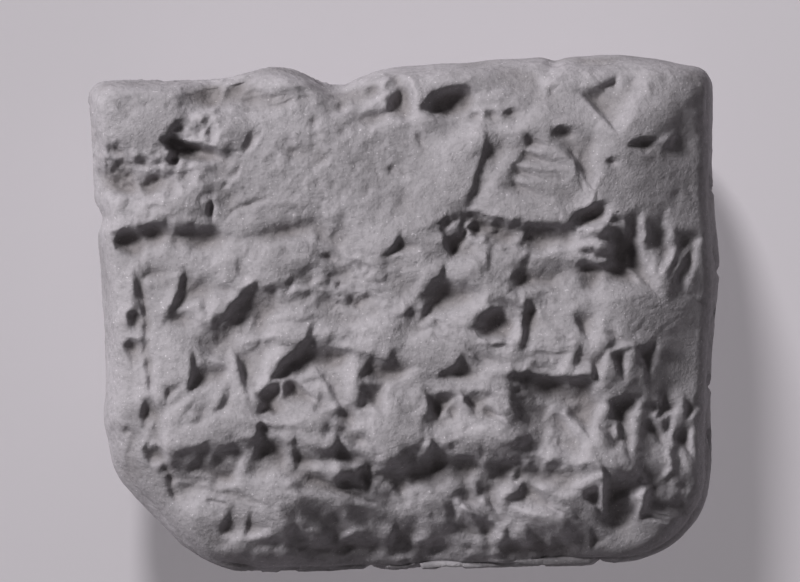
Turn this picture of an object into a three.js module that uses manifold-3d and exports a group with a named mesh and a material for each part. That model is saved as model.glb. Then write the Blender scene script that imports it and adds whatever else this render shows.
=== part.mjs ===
// A small clay writing tablet (Mesopotamian cuneiform type), lying on its back.
// Units are millimetres. X runs along the lines of writing, Y up the page, Z through
// the thickness, with the written face up. The origin is under the middle of the back.
import * as THREE from 'three';
import { mergeVertices } from 'three/addons/utils/BufferGeometryUtils.js';
import Module from 'manifold-3d';

const wasm = await Module();
wasm.setup();

// ---------------------------------------------------------------- driving dimensions
const THICKNESS = 16.0;      // back rest to the crown of the written face
const EQUATOR_Z = 7.9;       // height at which the edge stands furthest out
const FACE_CROWN = 0.55;     // how much the written face falls from its middle to its roll
const BACK_BELLY = 1.0;      // how much the back bulges between its middle and its edge
const REST_SHARE = 0.52;     // share of the back, from the middle out, that is worn flat and lies on the table
const ROUND_POWER = 2.25;    // 2 is a circular edge section, more is squarer

// Plan of the edge: corner, corner radius. Listed anticlockwise from the top left corner's left.
const CORNERS = {
  lowerLeftHigh: { x: -21.9, y: -11.7, r: 4.6 },   // upper end of the worn lower left corner
  lowerLeftLow: { x: -14.6, y: -19.42, r: 9.0 },   // lower end of the same corner
  lowerRight: { x: 22.85, y: -18.5, r: 7.0 },
  upperRight: { x: 23.15, y: 18.5, r: 1.7 },
  upperRightBrow: { x: 16.6, y: 19.5, r: 11.0 },
  upperLeft: { x: -23.65, y: 17.4, r: 1.3 },
};

// Local bumps and dips of the edge: side, where along it, how far out, how wide.
const EDGE_SWELLS = [
  { side: 'top', at: -14.6, out: -0.25, width: 2.6 },
  { side: 'top', at: -10.1, out: 0.45, width: 2.0 },   // brow of pushed-up clay
  { side: 'top', at: -5.1, out: -1.15, width: 1.75 },  // broken dip beside it
  { side: 'top', at: 8.0, out: 0.12, width: 2.2 },
  { side: 'top', at: 11.3, out: -0.3, width: 0.5 },
  { side: 'right', at: 2.9, out: 0.58, width: 3.6 },
  { side: 'left', at: 7.4, out: -0.35, width: 0.6 },
  { side: 'left', at: -7.9, out: 0.4, width: 1.2 },
];

// Width (in plan) of the rounded edge, by compass direction from the middle of the face.
const FACE_ROLL = { right: 8.2, upperRight: 6.0, top: 4.2, upperLeft: 3.4, left: 4.6, lowerLeft: 6.2, bottom: 8.4, lowerRight: 9.4 };
const BACK_ROLL = { right: 10.0, upperRight: 9.0, top: 9.0, upperLeft: 8.0, left: 9.5, lowerLeft: 9.5, bottom: 9.5, lowerRight: 10.5 };

const HALF_X = 23.6, HALF_Y = 19.35;  // half of the plan, used only to aim the grid
const FACE_RINGS = 9;        // grid rings on the face before the edge starts to roll
const ROLL_RINGS = 6;        // grid rings down the rounded edge

// Strokes of the stylus: length, width and depth of one pressing, and the way its tail points.
const STROKE = {
  V: { turn: -92, length: 5.2, width: 2.7, depth: 1.3 },    // upright, head at the top
  H: { turn: -3, length: 5.8, width: 2.4, depth: 1.1 },     // level, head at the left
  D: { turn: -33, length: 5.6, width: 2.4, depth: 1.15 },   // slanting down to the right
  L: { turn: 222, length: 6.6, width: 2.9, depth: 1.4 },    // slanting down to the left
  K: { turn: -60, length: 3.0, width: 2.8, depth: 1.25 },   // short corner press
};
// The lines of writing. Each entry: height on the page, then strokes as [kind, x, scale].
const LINES = [
  { y: 16.4, strokes: [['V', 10.9, 0.4], ['L', 15.9, 0.8], ['K', 3.9, 0.5]] },
  { y: 12.6, strokes: [['V', 12.3, 1.0], ['H', 8.9, 0.75], ['L', 7.2, 1.05], ['V', 16.9, 0.75]] },
  { y: 11.2, strokes: [['H', 8.3, 0.7]] },
  { y: 10.1, strokes: [['H', 7.9, 0.65]] },
  { y: 6.3, strokes: [['V', 17.4, 1.1], ['L', 21.1, 0.8], ['K', 5.2, 0.9], ['K', 9.6, 1.0], ['K', 13.6, 0.9], ['L', 0.6, 0.55], ['K', -20.6, 0.6], ['K', -18.2, 0.7], ['K', -15.4, 0.7]] },
  { y: 2.0, strokes: [['L', -14.8, 0.9], ['L', -9.7, 1.05], ['K', -8.2, 0.9], ['L', 4.3, 0.95], ['D', 13.4, 1.35], ['K', 7.4, 0.9], ['K', -3.4, 0.9]] },
  { y: -1.5, strokes: [['L', -4.6, 1.25], ['D', 1.8, 0.9], ['H', 10.3, 0.8], ['V', 14.2, 0.75], ['V', 16.6, 0.75], ['V', 18.6, 0.75]] },
  { y: -4.4, strokes: [['V', -11.7, 1.15], ['V', -4.6, 0.7], ['K', -2.2, 0.8], ['K', 3.9, 0.9], ['H', 8.0, 1.2], ['V', 13.7, 0.9], ['V', -15.1, 0.7]] },
  { y: -7.4, strokes: [['D', -9.9, 1.0], ['K', 1.6, 0.9], ['K', 5.2, 0.8], ['V', 16.6, 1.2], ['V', 19.4, 0.9], ['L', 21.4, 0.7], ['L', -16.2, 0.5]] },
  { y: -10.6, strokes: [['K', -15.8, 1.2], ['K', -11.4, 1.2], ['D', 5.0, 1.1], ['V', -2.8, 0.7], ['V', -5.6, 0.6], ['L', -7.6, 0.8], ['H', 7.2, 1.0]] },
  { y: -13.1, strokes: [['H', -17.0, 1.35], ['D', -6.3, 1.15], ['D', 8.9, 1.0], ['K', 15.8, 1.25], ['V', 2.2, 0.7]] },
  { y: -15.9, strokes: [['K', -11.0, 0.8], ['K', -7.9, 0.75], ['K', -4.5, 0.9], ['K', 0.4, 0.8], ['K', 2.9, 0.8], ['K', 8.5, 0.85], ['K', 11.9, 0.8]] },
];
// Spalls, pits and worn hollows: x, y, half length, half width, depth, turn in degrees.
const HOLLOWS = [
  { x: -14.7, y: 15.6, a: 2.3, b: 1.2, deep: 1.2, turn: 12 },
  { x: -19.9, y: 15.4, a: 1.5, b: 1.0, deep: 0.6, turn: 0 },
  { x: -21.0, y: 10.1, a: 1.5, b: 1.0, deep: 1.1, turn: -20 },
  { x: -17.6, y: 6.0, a: 3.2, b: 0.9, deep: 0.8, turn: 3 },
  { x: -0.5, y: 15.9, a: 1.0, b: 1.6, deep: 1.3, turn: -20 },
  { x: 3.4, y: 15.7, a: 1.5, b: 1.1, deep: 1.2, turn: -15 },
  { x: 10.6, y: 6.7, a: 4.4, b: 1.4, deep: 0.9, turn: -4 },
  { x: -5.8, y: 11.6, a: 2.4, b: 2.2, deep: 0.35, turn: 30 },
  { x: 11.4, y: -7.2, a: 2.9, b: 1.7, deep: 1.3, turn: -8 },
  { x: -11.4, y: -11.0, a: 5.8, b: 1.3, deep: 1.0, turn: 2 },
  { x: 9.4, y: -12.0, a: 3.4, b: 0.9, deep: 0.8, turn: 0 },
  { x: 6.8, y: -0.8, a: 1.3, b: 1.1, deep: 1.1, turn: 0 },
];
// Cracks: x, y, length, width, depth, turn.
const CRACKS = [
  { x: -16.6, y: 12.3, long: 3.4, wide: 0.75, deep: 1.5, turn: -22 },
  { x: -14.1, y: 7.7, long: 1.6, wide: 0.3, deep: 0.6, turn: 88 },
];
// The scored line that rules off the left margin, as waypoints down the page.
const MARGIN_RULE = { top: 5.2, bottom: -15.6, xTop: -19.5, lean: 0.055, bend: 0.0105, deep: 0.55, wide: 0.9, steps: 7 };
// A few plainer strokes on the back and along the lower edge.
const BACK_LINES = { heights: [11.5, 6.2, 0.6, -5.0], kinds: ['H', 'V', 'D', 'V', 'K'], from: -15.5, to: 14.5, step: 5.1, scale: 0.62 };
const LOWER_EDGE = { from: -9.5, to: 13.5, step: 4.6, z: 8.4, scale: 0.62 };

// ---------------------------------------------------------------- plan outline
const rad = (deg) => deg * Math.PI / 180;

// Rounded polygon with its swells, as [x, y] points anticlockwise.
function outlinePoints() {
  const c = [CORNERS.lowerLeftHigh, CORNERS.lowerLeftLow, CORNERS.lowerRight, CORNERS.upperRight, CORNERS.upperRightBrow, CORNERS.upperLeft];
  const points = [];
  c.forEach((p, i) => {
    const before = c[(i + c.length - 1) % c.length], after = c[(i + 1) % c.length];
    const a = new THREE.Vector2(before.x - p.x, before.y - p.y).normalize();
    const b = new THREE.Vector2(after.x - p.x, after.y - p.y).normalize();
    const half = Math.acos(THREE.MathUtils.clamp(a.dot(b), -1, 1)) / 2;
    const reach = p.r / Math.tan(half);
    const mid = a.clone().add(b).normalize().multiplyScalar(p.r / Math.sin(half)).add(new THREE.Vector2(p.x, p.y));
    const start = new THREE.Vector2(p.x, p.y).addScaledVector(a, reach).sub(mid);
    const sweep = Math.PI - 2 * half;
    for (let k = 0; k <= 12; k++) {
      const t = sweep * k / 12, cs = Math.cos(t), sn = Math.sin(t);
      points.push([mid.x + start.x * cs - start.y * sn, mid.y + start.x * sn + start.y * cs]);
    }
  });
  // straight runs are cut up so that the swells can bend them
  const fine = [];
  points.forEach((p, i) => {
    const q = points[(i + 1) % points.length];
    const n = Math.max(1, Math.ceil(Math.hypot(q[0] - p[0], q[1] - p[1]) / 0.4));
    for (let k = 0; k < n; k++) fine.push([p[0] + (q[0] - p[0]) * k / n, p[1] + (q[1] - p[1]) * k / n]);
  });
  return fine.map(([x, y]) => {
    let dx = 0, dy = 0;
    for (const s of EDGE_SWELLS) {
      const across = s.side === 'top' || s.side === 'bottom';
      const onSide = { top: y > 14, bottom: y < -14, right: x > 18, left: x < -18 }[s.side];
      if (!onSide) continue;
      const g = s.out * Math.exp(-0.5 * (((across ? x : y) - s.at) / s.width) ** 2);
      if (s.side === 'top') dy += g;
      if (s.side === 'bottom') dy -= g;
      if (s.side === 'right') dx += g;
      if (s.side === 'left') dx -= g;
    }
    return [x + dx, y + dy];
  });
}

// The outline as reach from the middle, by direction.
const RIM = outlinePoints().map(([x, y]) => ({ angle: Math.atan2(y, x), reach: Math.hypot(x, y), x, y })).sort((p, q) => p.angle - q.angle);
function rimAt(angle) {
  let a = angle;
  while (a <= -Math.PI) a += 2 * Math.PI;
  while (a > Math.PI) a -= 2 * Math.PI;
  let hi = RIM.findIndex((p) => p.angle >= a);
  if (hi < 0) hi = 0;
  const q = RIM[hi], p = RIM[(hi + RIM.length - 1) % RIM.length];
  const span = (q.angle - p.angle + 2 * Math.PI) % (2 * Math.PI) || 1e-9;
  const t = ((a - p.angle + 2 * Math.PI) % (2 * Math.PI)) / span;
  return p.reach + (q.reach - p.reach) * t;
}
// How squarely a ray from the middle meets the edge: 1 is square on.
function squareness(angle) {
  const e = rad(3), slope = (Math.log(rimAt(angle + e)) - Math.log(rimAt(angle - e))) / (2 * e);
  return 1 / Math.sqrt(1 + slope * slope);
}
function rollWidth(table, angle) {
  const order = ['right', 'upperRight', 'top', 'upperLeft', 'left', 'lowerLeft', 'bottom', 'lowerRight'];
  // corners of the plan lie nearer the long axis than 45 degrees
  const at = [0, 39, 90, 141, 180, 219, 270, 321];
  const deg = ((angle * 180 / Math.PI) % 360 + 360) % 360;
  for (let i = 0; i < 8; i++) {
    const lo = at[i], hi = i < 7 ? at[i + 1] : 360;
    if (deg >= lo && deg <= hi) {
      const t = (1 - Math.cos(Math.PI * (deg - lo) / (hi - lo))) / 2;
      return table[order[i]] * (1 - t) + table[order[(i + 1) % 8]] * t;
    }
  }
  return table.right;
}

// ---------------------------------------------------------------- body surface
// Height above (face) or below (back) the equator at a plan point, from its distance to the edge.
function edgeSection(inset, width, height) {
  const t = THREE.MathUtils.clamp(1 - inset / width, 0, 1);
  return height * Math.pow(1 - Math.pow(t, ROUND_POWER), 1 / ROUND_POWER);
}
// soft, hand-made unevenness of the clay
function unevenness(x, y) {
  return 0.10 * Math.sin(0.31 * x + 1.3) * Math.sin(0.27 * y + 0.4) + 0.07 * Math.sin(0.62 * x - 0.35 * y + 2.1) + 0.05 * Math.sin(0.5 * y + 0.81 * x);
}
function surfacePoint(u, v, face) {
  const ring = Math.max(Math.abs(u), Math.abs(v));
  const angle = ring < 1e-9 ? 0 : Math.atan2(v * HALF_Y, u * HALF_X);
  const reach = rimAt(angle), cs = squareness(angle);
  const width = rollWidth(face ? FACE_ROLL : BACK_ROLL, angle);
  const flatShare = Math.max(0.2, 1 - width / (cs * reach));
  const ringOfRoll = FACE_RINGS / (FACE_RINGS + ROLL_RINGS);
  let share;
  if (ring <= ringOfRoll) share = flatShare * ring / ringOfRoll;
  else {
    const phi = Math.PI / 2 * (ring - ringOfRoll) / (1 - ringOfRoll);
    share = 1 - (1 - flatShare) * (1 - Math.sin(phi));
  }
  const x = reach * share * Math.cos(angle), y = reach * share * Math.sin(angle);
  return new THREE.Vector3(x, y, surfaceHeight(x, y, face));
}
function surfaceHeight(x, y, face) {
  const angle = Math.atan2(y, x), reach = rimAt(angle), cs = squareness(angle);
  const share = Math.min(1, Math.hypot(x, y) / reach);
  const width = rollWidth(face ? FACE_ROLL : BACK_ROLL, angle);
  const inset = (1 - share) * reach * cs;
  const fade = THREE.MathUtils.clamp(inset / 3, 0, 1);
  if (face) return EQUATOR_Z + edgeSection(inset, width, THICKNESS - EQUATOR_Z) - FACE_CROWN * share * share + unevenness(x, y) * fade;
  return EQUATOR_Z - edgeSection(inset, width, EQUATOR_Z) + (BACK_BELLY * (share * share - REST_SHARE * REST_SHARE) + 0.5 * unevenness(y, x)) * fade;
}
function surfaceNormal(x, y, face) {
  const e = 0.6;
  const dzdx = (surfaceHeight(x + e, y, face) - surfaceHeight(x - e, y, face)) / (2 * e);
  const dzdy = (surfaceHeight(x, y + e, face) - surfaceHeight(x, y - e, face)) / (2 * e);
  const n = new THREE.Vector3(-dzdx, -dzdy, 1).normalize();
  return face ? n : n.negate();
}

function solidFrom(positions, triangles) {
  let g = new THREE.BufferGeometry();
  g.setAttribute('position', new THREE.BufferAttribute(new Float32Array(positions), 3));
  g.setIndex(triangles);
  g = mergeVertices(g, 1e-4);
  return new wasm.Manifold(new wasm.Mesh({
    numProp: 3,
    vertProperties: new Float32Array(g.attributes.position.array),
    triVerts: new Uint32Array(g.index.array),
  }));
}

function bodySolid() {
  const n = 2 * (FACE_RINGS + ROLL_RINGS), positions = [], triangles = [];
  const index = new Map();
  const vertex = (i, j, face) => {
    const rim = i === 0 || j === 0 || i === n || j === n;
    const key = `${i},${j},${rim ? 'rim' : face}`;
    if (!index.has(key)) {
      const p = surfacePoint(2 * i / n - 1, 2 * j / n - 1, face);
      if (rim) p.z = EQUATOR_Z;
      index.set(key, positions.length / 3);
      positions.push(p.x, p.y, p.z);
    }
    return index.get(key);
  };
  for (const face of [true, false]) {
    for (let i = 0; i < n; i++) for (let j = 0; j < n; j++) {
      const a = vertex(i, j, face), b = vertex(i + 1, j, face), c = vertex(i + 1, j + 1, face), d = vertex(i, j + 1, face);
      // diagonals follow the rings, so that the corners stay round
      const lean = (i < n / 2) === (j < n / 2);
      const tris = lean ? [[a, b, c], [a, c, d]] : [[a, b, d], [b, c, d]];
      for (const t of tris) triangles.push(...(face ? t : [t[0], t[2], t[1]]));
    }
  }
  return solidFrom(positions, triangles);
}

// ---------------------------------------------------------------- carving tools
// A pyramid standing on its point: footprint corners lie on the surface, the point below it.
function pyramid(frame, footprint, apex) {
  const lift = 1.1, k = (-apex.z + lift) / -apex.z;
  const top = footprint.map(([x, y]) => new THREE.Vector3(apex.x + (x - apex.x) * k, apex.y + (y - apex.y) * k, lift));
  const positions = [], triangles = [];
  for (const p of [...top, apex]) positions.push(...p.clone().applyMatrix4(frame).toArray());
  const m = top.length;
  for (let i = 0; i < m; i++) triangles.push(i, m, (i + 1) % m);
  for (let i = 1; i < m - 1; i++) triangles.push(0, i, i + 1);
  return solidFrom(positions, triangles);
}
// Local frame on the surface: X along the stroke, Z out of the clay.
function frameOn(point, normal, along) {
  const x = along.clone().addScaledVector(normal, -along.dot(normal)).normalize();
  const y = new THREE.Vector3().crossVectors(normal, x);
  return new THREE.Matrix4().makeBasis(x, y, normal).setPosition(point);
}
function frameOnSheet(x, y, turn, face) {
  const point = new THREE.Vector3(x, y, surfaceHeight(x, y, face));
  return frameOn(point, surfaceNormal(x, y, face), new THREE.Vector3(Math.cos(rad(turn)), Math.sin(rad(turn)), 0));
}
// One pressing of the stylus: a triangular head that runs out into a tail.
function strokeTool(frame, kind, scale) {
  const s = STROKE[kind], l = s.length * scale, w = s.width * Math.sqrt(scale), d = s.depth * Math.sqrt(scale);
  const head = 0.22 * l;
  return pyramid(frame, [[-head, w / 2], [-head * 0.8, -w / 2], [l - head, 0]], new THREE.Vector3(-head * 0.2, w * 0.14, -d));
}
// A rounded hollow: a low, flattened bowl.
function hollowTool(frame, h) {
  const g = new THREE.SphereGeometry(1, 9, 6);
  g.deleteAttribute('normal');
  g.deleteAttribute('uv');
  g.rotateX(Math.PI / 2);
  g.scale(h.a, h.b, h.deep * 1.35);
  g.translate(0, 0, h.deep * 0.35);
  g.applyMatrix4(frame);
  const merged = mergeVertices(g, 1e-3);
  return new wasm.Manifold(new wasm.Mesh({
    numProp: 3,
    vertProperties: new Float32Array(merged.attributes.position.array),
    triVerts: new Uint32Array(merged.index.array),
  }));
}

// ---------------------------------------------------------------- the tablet
let tablet = bodySolid();

for (const h of HOLLOWS) tablet = tablet.subtract(hollowTool(frameOnSheet(h.x, h.y, h.turn, true), h));

for (const c of CRACKS) {
  const frame = frameOnSheet(c.x, c.y, c.turn, true);
  tablet = tablet.subtract(pyramid(frame, [[-c.long / 2, 0], [0, -c.wide / 2], [c.long / 2, 0], [0, c.wide / 2]], new THREE.Vector3(0, 0, -c.deep)));
}

{ // the margin rule, scored in short overlapping drags
  const r = MARGIN_RULE, step = (r.top - r.bottom) / r.steps;
  const at = (y) => r.xTop + r.lean * (r.top - y) + r.bend * (r.top - y) ** 2 * 0.75;
  for (let i = 0; i < r.steps; i++) {
    const y = r.top - step * (i + 0.5), turn = Math.atan2(-step, at(y - step / 2) - at(y + step / 2)) * 180 / Math.PI;
    const frame = frameOnSheet(at(y), y, turn, true), half = step * 0.62;
    tablet = tablet.subtract(pyramid(frame, [[-half, 0], [0, -r.wide / 2], [half, 0], [0, r.wide / 2]], new THREE.Vector3(-half * 0.3, 0, -r.deep)));
  }
}

for (const line of LINES) {
  for (const [kind, x, scale] of line.strokes) {
    const wander = 4 * Math.sin(7.3 * x + line.y);   // no two strokes lie quite alike
    tablet = tablet.subtract(strokeTool(frameOnSheet(x, line.y, STROKE[kind].turn + wander, true), kind, scale));
  }
}

{ // the back carries fewer, shallower strokes
  const b = BACK_LINES;
  b.heights.forEach((y, row) => {
    let n = 0;
    for (let x = b.from + (row % 2) * 1.7; x <= b.to; x += b.step, n++) {
      const kind = b.kinds[(n + 2 * row) % b.kinds.length];
      if ((n * 5 + row * 3) % 7 === 0) continue;   // worn away here
      if (Math.abs(x) < 9 && Math.abs(y) < 6.5) continue;   // the flat the tablet lies on stays plain
      const turn = 180 - STROKE[kind].turn + 6 * Math.sin(3.1 * x + y);
      tablet = tablet.subtract(strokeTool(frameOnSheet(-x, y, turn, false), kind, b.scale));
    }
  });
}

{ // strokes that run over the lower edge
  const e = LOWER_EDGE;
  for (let x = e.from, n = 0; x <= e.to; x += e.step, n++) {
    const angle = Math.atan2(-HALF_Y, x * 0.98), reach = rimAt(angle);
    const p = new THREE.Vector3(Math.cos(angle) * reach, Math.sin(angle) * reach, e.z - 0.5 * (n % 2));
    const frame = frameOn(p, new THREE.Vector3(0, -1, 0.05).normalize(), new THREE.Vector3(n % 2 ? 1 : 0.15, 0, n % 2 ? -0.2 : -1));
    tablet = tablet.subtract(strokeTool(frame, n % 2 ? 'H' : 'V', e.scale));
  }
}

// trim the belly of the back to the small flat the tablet lies on
{
  const slab = new THREE.BoxGeometry(80, 80, 10);
  slab.deleteAttribute('normal');
  slab.deleteAttribute('uv');
  slab.translate(0, 0, -5);
  const merged = mergeVertices(slab, 1e-4);
  tablet = tablet.subtract(new wasm.Manifold(new wasm.Mesh({
    numProp: 3,
    vertProperties: new Float32Array(merged.attributes.position.array),
    triVerts: new Uint32Array(merged.index.array),
  })));
}

// ---------------------------------------------------------------- to three.js
function meshOf(solid, name, material) {
  const m = solid.getMesh(), g = new THREE.BufferGeometry();
  const xyz = new Float32Array(m.vertProperties.length / m.numProp * 3);
  for (let i = 0; i < xyz.length / 3; i++) for (let k = 0; k < 3; k++) xyz[3 * i + k] = m.vertProperties[m.numProp * i + k];
  g.setAttribute('position', new THREE.BufferAttribute(xyz, 3));
  g.setIndex(new THREE.BufferAttribute(new Uint32Array(m.triVerts), 1));
  g.computeVertexNormals();
  const mesh = new THREE.Mesh(g, material);
  mesh.name = name;
  return mesh;
}

const clay = new THREE.MeshStandardMaterial({ color: 0xa9a4a7, roughness: 0.93, metalness: 0 });
const root = new THREE.Group();
root.add(meshOf(tablet, 'tablet', clay));

export default root;
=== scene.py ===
"""The looks of a small clay writing tablet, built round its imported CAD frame.

The clay's surface is one closed mesh. A plain pillow-shaped body is worked out first, as in the
CAD model, and its points are then moved to carry the pressings of the stylus, the hollows and lumps
of wear, the cracks and the grain. All lengths in this part are in millimetres.
"""
import bpy
import math
import numpy as np
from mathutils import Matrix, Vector


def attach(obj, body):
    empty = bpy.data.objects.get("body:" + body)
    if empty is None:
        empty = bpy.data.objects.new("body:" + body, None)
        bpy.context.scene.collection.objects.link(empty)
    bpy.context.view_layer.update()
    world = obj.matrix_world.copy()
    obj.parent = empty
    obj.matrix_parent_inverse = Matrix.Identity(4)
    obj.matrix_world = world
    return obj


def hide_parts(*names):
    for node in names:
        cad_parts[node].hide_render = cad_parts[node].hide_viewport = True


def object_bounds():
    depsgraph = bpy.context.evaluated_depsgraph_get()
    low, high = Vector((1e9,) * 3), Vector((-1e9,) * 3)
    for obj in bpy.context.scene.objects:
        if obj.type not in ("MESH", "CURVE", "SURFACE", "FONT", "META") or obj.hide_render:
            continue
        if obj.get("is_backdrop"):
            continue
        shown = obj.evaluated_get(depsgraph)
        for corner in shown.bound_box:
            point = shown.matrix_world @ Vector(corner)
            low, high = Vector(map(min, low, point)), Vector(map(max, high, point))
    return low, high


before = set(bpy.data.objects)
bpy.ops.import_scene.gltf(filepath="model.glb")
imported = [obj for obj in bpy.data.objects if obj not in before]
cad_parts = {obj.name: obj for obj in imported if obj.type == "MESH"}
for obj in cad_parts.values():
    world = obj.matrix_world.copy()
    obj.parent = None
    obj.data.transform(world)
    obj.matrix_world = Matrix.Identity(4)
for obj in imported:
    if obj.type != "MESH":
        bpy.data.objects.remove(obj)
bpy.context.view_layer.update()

# ------------------------------------------------------------------ noise
def lattice(seed):
    rng = np.random.RandomState(seed)
    perm = rng.permutation(256)
    grad = rng.normal(size=(256, 3))
    grad /= np.linalg.norm(grad, axis=1)[:, None]
    return np.concatenate([perm, perm]), grad

LATTICES = [lattice(s) for s in range(11, 19)]

def noise(p, size, which=0):
    """Gradient noise, about -1 to 1, with features about `size` mm across."""
    perm, grad = LATTICES[which % len(LATTICES)]
    q = p / size + 37.3 * (which + 1)
    i = np.floor(q).astype(np.int64)
    f = q - i
    i &= 255
    w = f * f * f * (f * (f * 6 - 15) + 10)
    out = 0.0
    for cx in (0, 1):
        wx = w[:, 0] if cx else 1 - w[:, 0]
        for cy in (0, 1):
            wy = w[:, 1] if cy else 1 - w[:, 1]
            for cz in (0, 1):
                wz = w[:, 2] if cz else 1 - w[:, 2]
                h = perm[(perm[(perm[(i[:, 0] + cx) & 255] + i[:, 1] + cy) & 255] + i[:, 2] + cz) & 255]
                g = grad[h]
                out = out + wx * wy * wz * (g[:, 0] * (f[:, 0] - cx) + g[:, 1] * (f[:, 1] - cy) + g[:, 2] * (f[:, 2] - cz))
    return out * 1.55

def fbm(p, size, octaves, gain=0.5, which=0):
    out, amp, total = 0.0, 1.0, 0.0
    for k in range(octaves):
        out = out + amp * noise(p, size / 2.03 ** k, which + k)
        total += amp
        amp *= gain
    return out / total ** 0.5

def smooth(a, b, t):
    t = np.clip((t - a) / (b - a), 0, 1)
    return t * t * (3 - 2 * t)

def blur(a, sigma):
    """Gaussian blur of a raster, sigma in samples."""
    r = int(math.ceil(3 * sigma))
    k = np.exp(-0.5 * (np.arange(-r, r + 1) / sigma) ** 2)
    k /= k.sum()
    for axis in (0, 1):
        pad = [(0, 0), (0, 0)]
        pad[axis] = (r, r)
        q = np.pad(a, pad, mode='edge')
        n = a.shape[axis]
        out = 0.0
        for j, w in enumerate(k):
            out = out + w * (q[j:j + n] if axis == 0 else q[:, j:j + n])
        a = out
    return a


THICKNESS, EQUATOR_Z, FACE_CROWN = 16.0, 7.9, 0.55
BACK_BELLY, REST_SHARE, ROUND_POWER = 1.0, 0.52, 2.25
CORNERS = [(-21.9, -11.7, 4.6), (-14.6, -19.42, 9.0), (22.85, -18.5, 7.0), (23.15, 18.5, 1.7), (16.6, 19.5, 11.0), (-23.65, 17.4, 1.3)]
EDGE_SWELLS = [('top', -14.6, -0.25, 2.6), ('top', -10.1, 0.45, 2.0), ('top', -5.1, -1.15, 1.75), ('top', 8.0, 0.12, 2.2),
               ('top', 11.3, -0.3, 0.5), ('right', 2.9, 0.58, 3.6), ('left', 7.4, -0.35, 0.6), ('left', -7.9, 0.4, 1.2)]
#            right uR   top  uL   left lL   bottom lR
FACE_ROLL = [1.5, 1.6, 1.4, 1.6, 1.8, 2.4, 1.5, 1.8]     # width of the rounded rim
FALL_WIDTH = [7.0, 5.2, 2.8, 2.6, 4.0, 6.0, 8.0, 8.0]    # how far in the face starts to fall to the rim
FALL_SLOPE = [0.50, 0.50, 0.42, 0.42, 0.40, 0.50, 0.68, 0.46]
FALL_BLEND = 0.9
BACK_ROLL = [10.0, 9.0, 9.0, 8.0, 9.5, 9.5, 9.5, 10.5]
ROLL_AT = [0, 39, 90, 141, 180, 219, 270, 321]

def outline():
    pts = []
    n = len(CORNERS)
    for i, (px, py, r) in enumerate(CORNERS):
        a = np.array(CORNERS[i - 1][:2]) - (px, py)
        b = np.array(CORNERS[(i + 1) % n][:2]) - (px, py)
        a /= np.linalg.norm(a); b /= np.linalg.norm(b)
        half = math.acos(np.clip(a @ b, -1, 1)) / 2
        m = a + b; m /= np.linalg.norm(m)
        mid = np.array([px, py]) + m * r / math.sin(half)
        start = np.array([px, py]) + a * r / math.tan(half) - mid
        sweep = math.pi - 2 * half
        for k in range(25):
            t = sweep * k / 24
            c, s = math.cos(t), math.sin(t)
            pts.append([mid[0] + start[0] * c - start[1] * s, mid[1] + start[0] * s + start[1] * c])
    fine = []
    for i, p in enumerate(pts):
        q = pts[(i + 1) % len(pts)]
        m = max(1, math.ceil(math.hypot(q[0] - p[0], q[1] - p[1]) / 0.15))
        for k in range(m):
            fine.append([p[0] + (q[0] - p[0]) * k / m, p[1] + (q[1] - p[1]) * k / m])
    P = np.array(fine)
    out = P.copy()
    for side, at, o, w in EDGE_SWELLS:
        on = {'top': P[:, 1] > 14, 'bottom': P[:, 1] < -14, 'right': P[:, 0] > 18, 'left': P[:, 0] < -18}[side]
        along = P[:, 0] if side in ('top', 'bottom') else P[:, 1]
        g = o * np.exp(-0.5 * ((along - at) / w) ** 2) * on
        d = {'top': (0, 1), 'bottom': (0, -1), 'right': (1, 0), 'left': (-1, 0)}[side]
        out += g[:, None] * d
    return out

RIM = outline()
_a = np.arctan2(RIM[:, 1], RIM[:, 0])
_o = np.argsort(_a)
RIM_A, RIM_R = _a[_o], np.hypot(RIM[:, 0], RIM[:, 1])[_o]
RIM_A = np.concatenate([RIM_A[-3:] - 2 * math.pi, RIM_A, RIM_A[:3] + 2 * math.pi])
RIM_R = np.concatenate([RIM_R[-3:], RIM_R, RIM_R[:3]])

def wrap(a):
    return (a + math.pi) % (2 * math.pi) - math.pi

def rim_at(a):
    return np.interp(wrap(a), RIM_A, RIM_R)

# squareness is smoothed a little by its wide step
_t = np.linspace(-math.pi, math.pi, 2881)
_e = math.radians(7)
_sl = (np.log(rim_at(_t + _e)) - np.log(rim_at(_t - _e))) / (2 * _e)
_SQ = 1 / np.sqrt(1 + _sl ** 2)

def squareness(a):
    return np.interp(wrap(a), _t, _SQ)

def roll_width(table, a):
    deg = np.degrees(a) % 360
    at = np.array(ROLL_AT + [360.0]); v = np.array(list(table) + [table[0]], float)
    i = np.clip(np.searchsorted(at, deg, side='right') - 1, 0, 7)
    t = (1 - np.cos(math.pi * (deg - at[i]) / (at[i + 1] - at[i]))) / 2
    return v[i] * (1 - t) + v[i + 1] * t

def edge_section(inset, width, height):
    t = np.clip(1 - inset / width, 0, 1)
    return height * (1 - t ** ROUND_POWER) ** (1 / ROUND_POWER)

def unevenness(x, y):
    return 0.10 * np.sin(0.31 * x + 1.3) * np.sin(0.27 * y + 0.4) + 0.07 * np.sin(0.62 * x - 0.35 * y + 2.1) + 0.05 * np.sin(0.5 * y + 0.81 * x)

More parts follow.
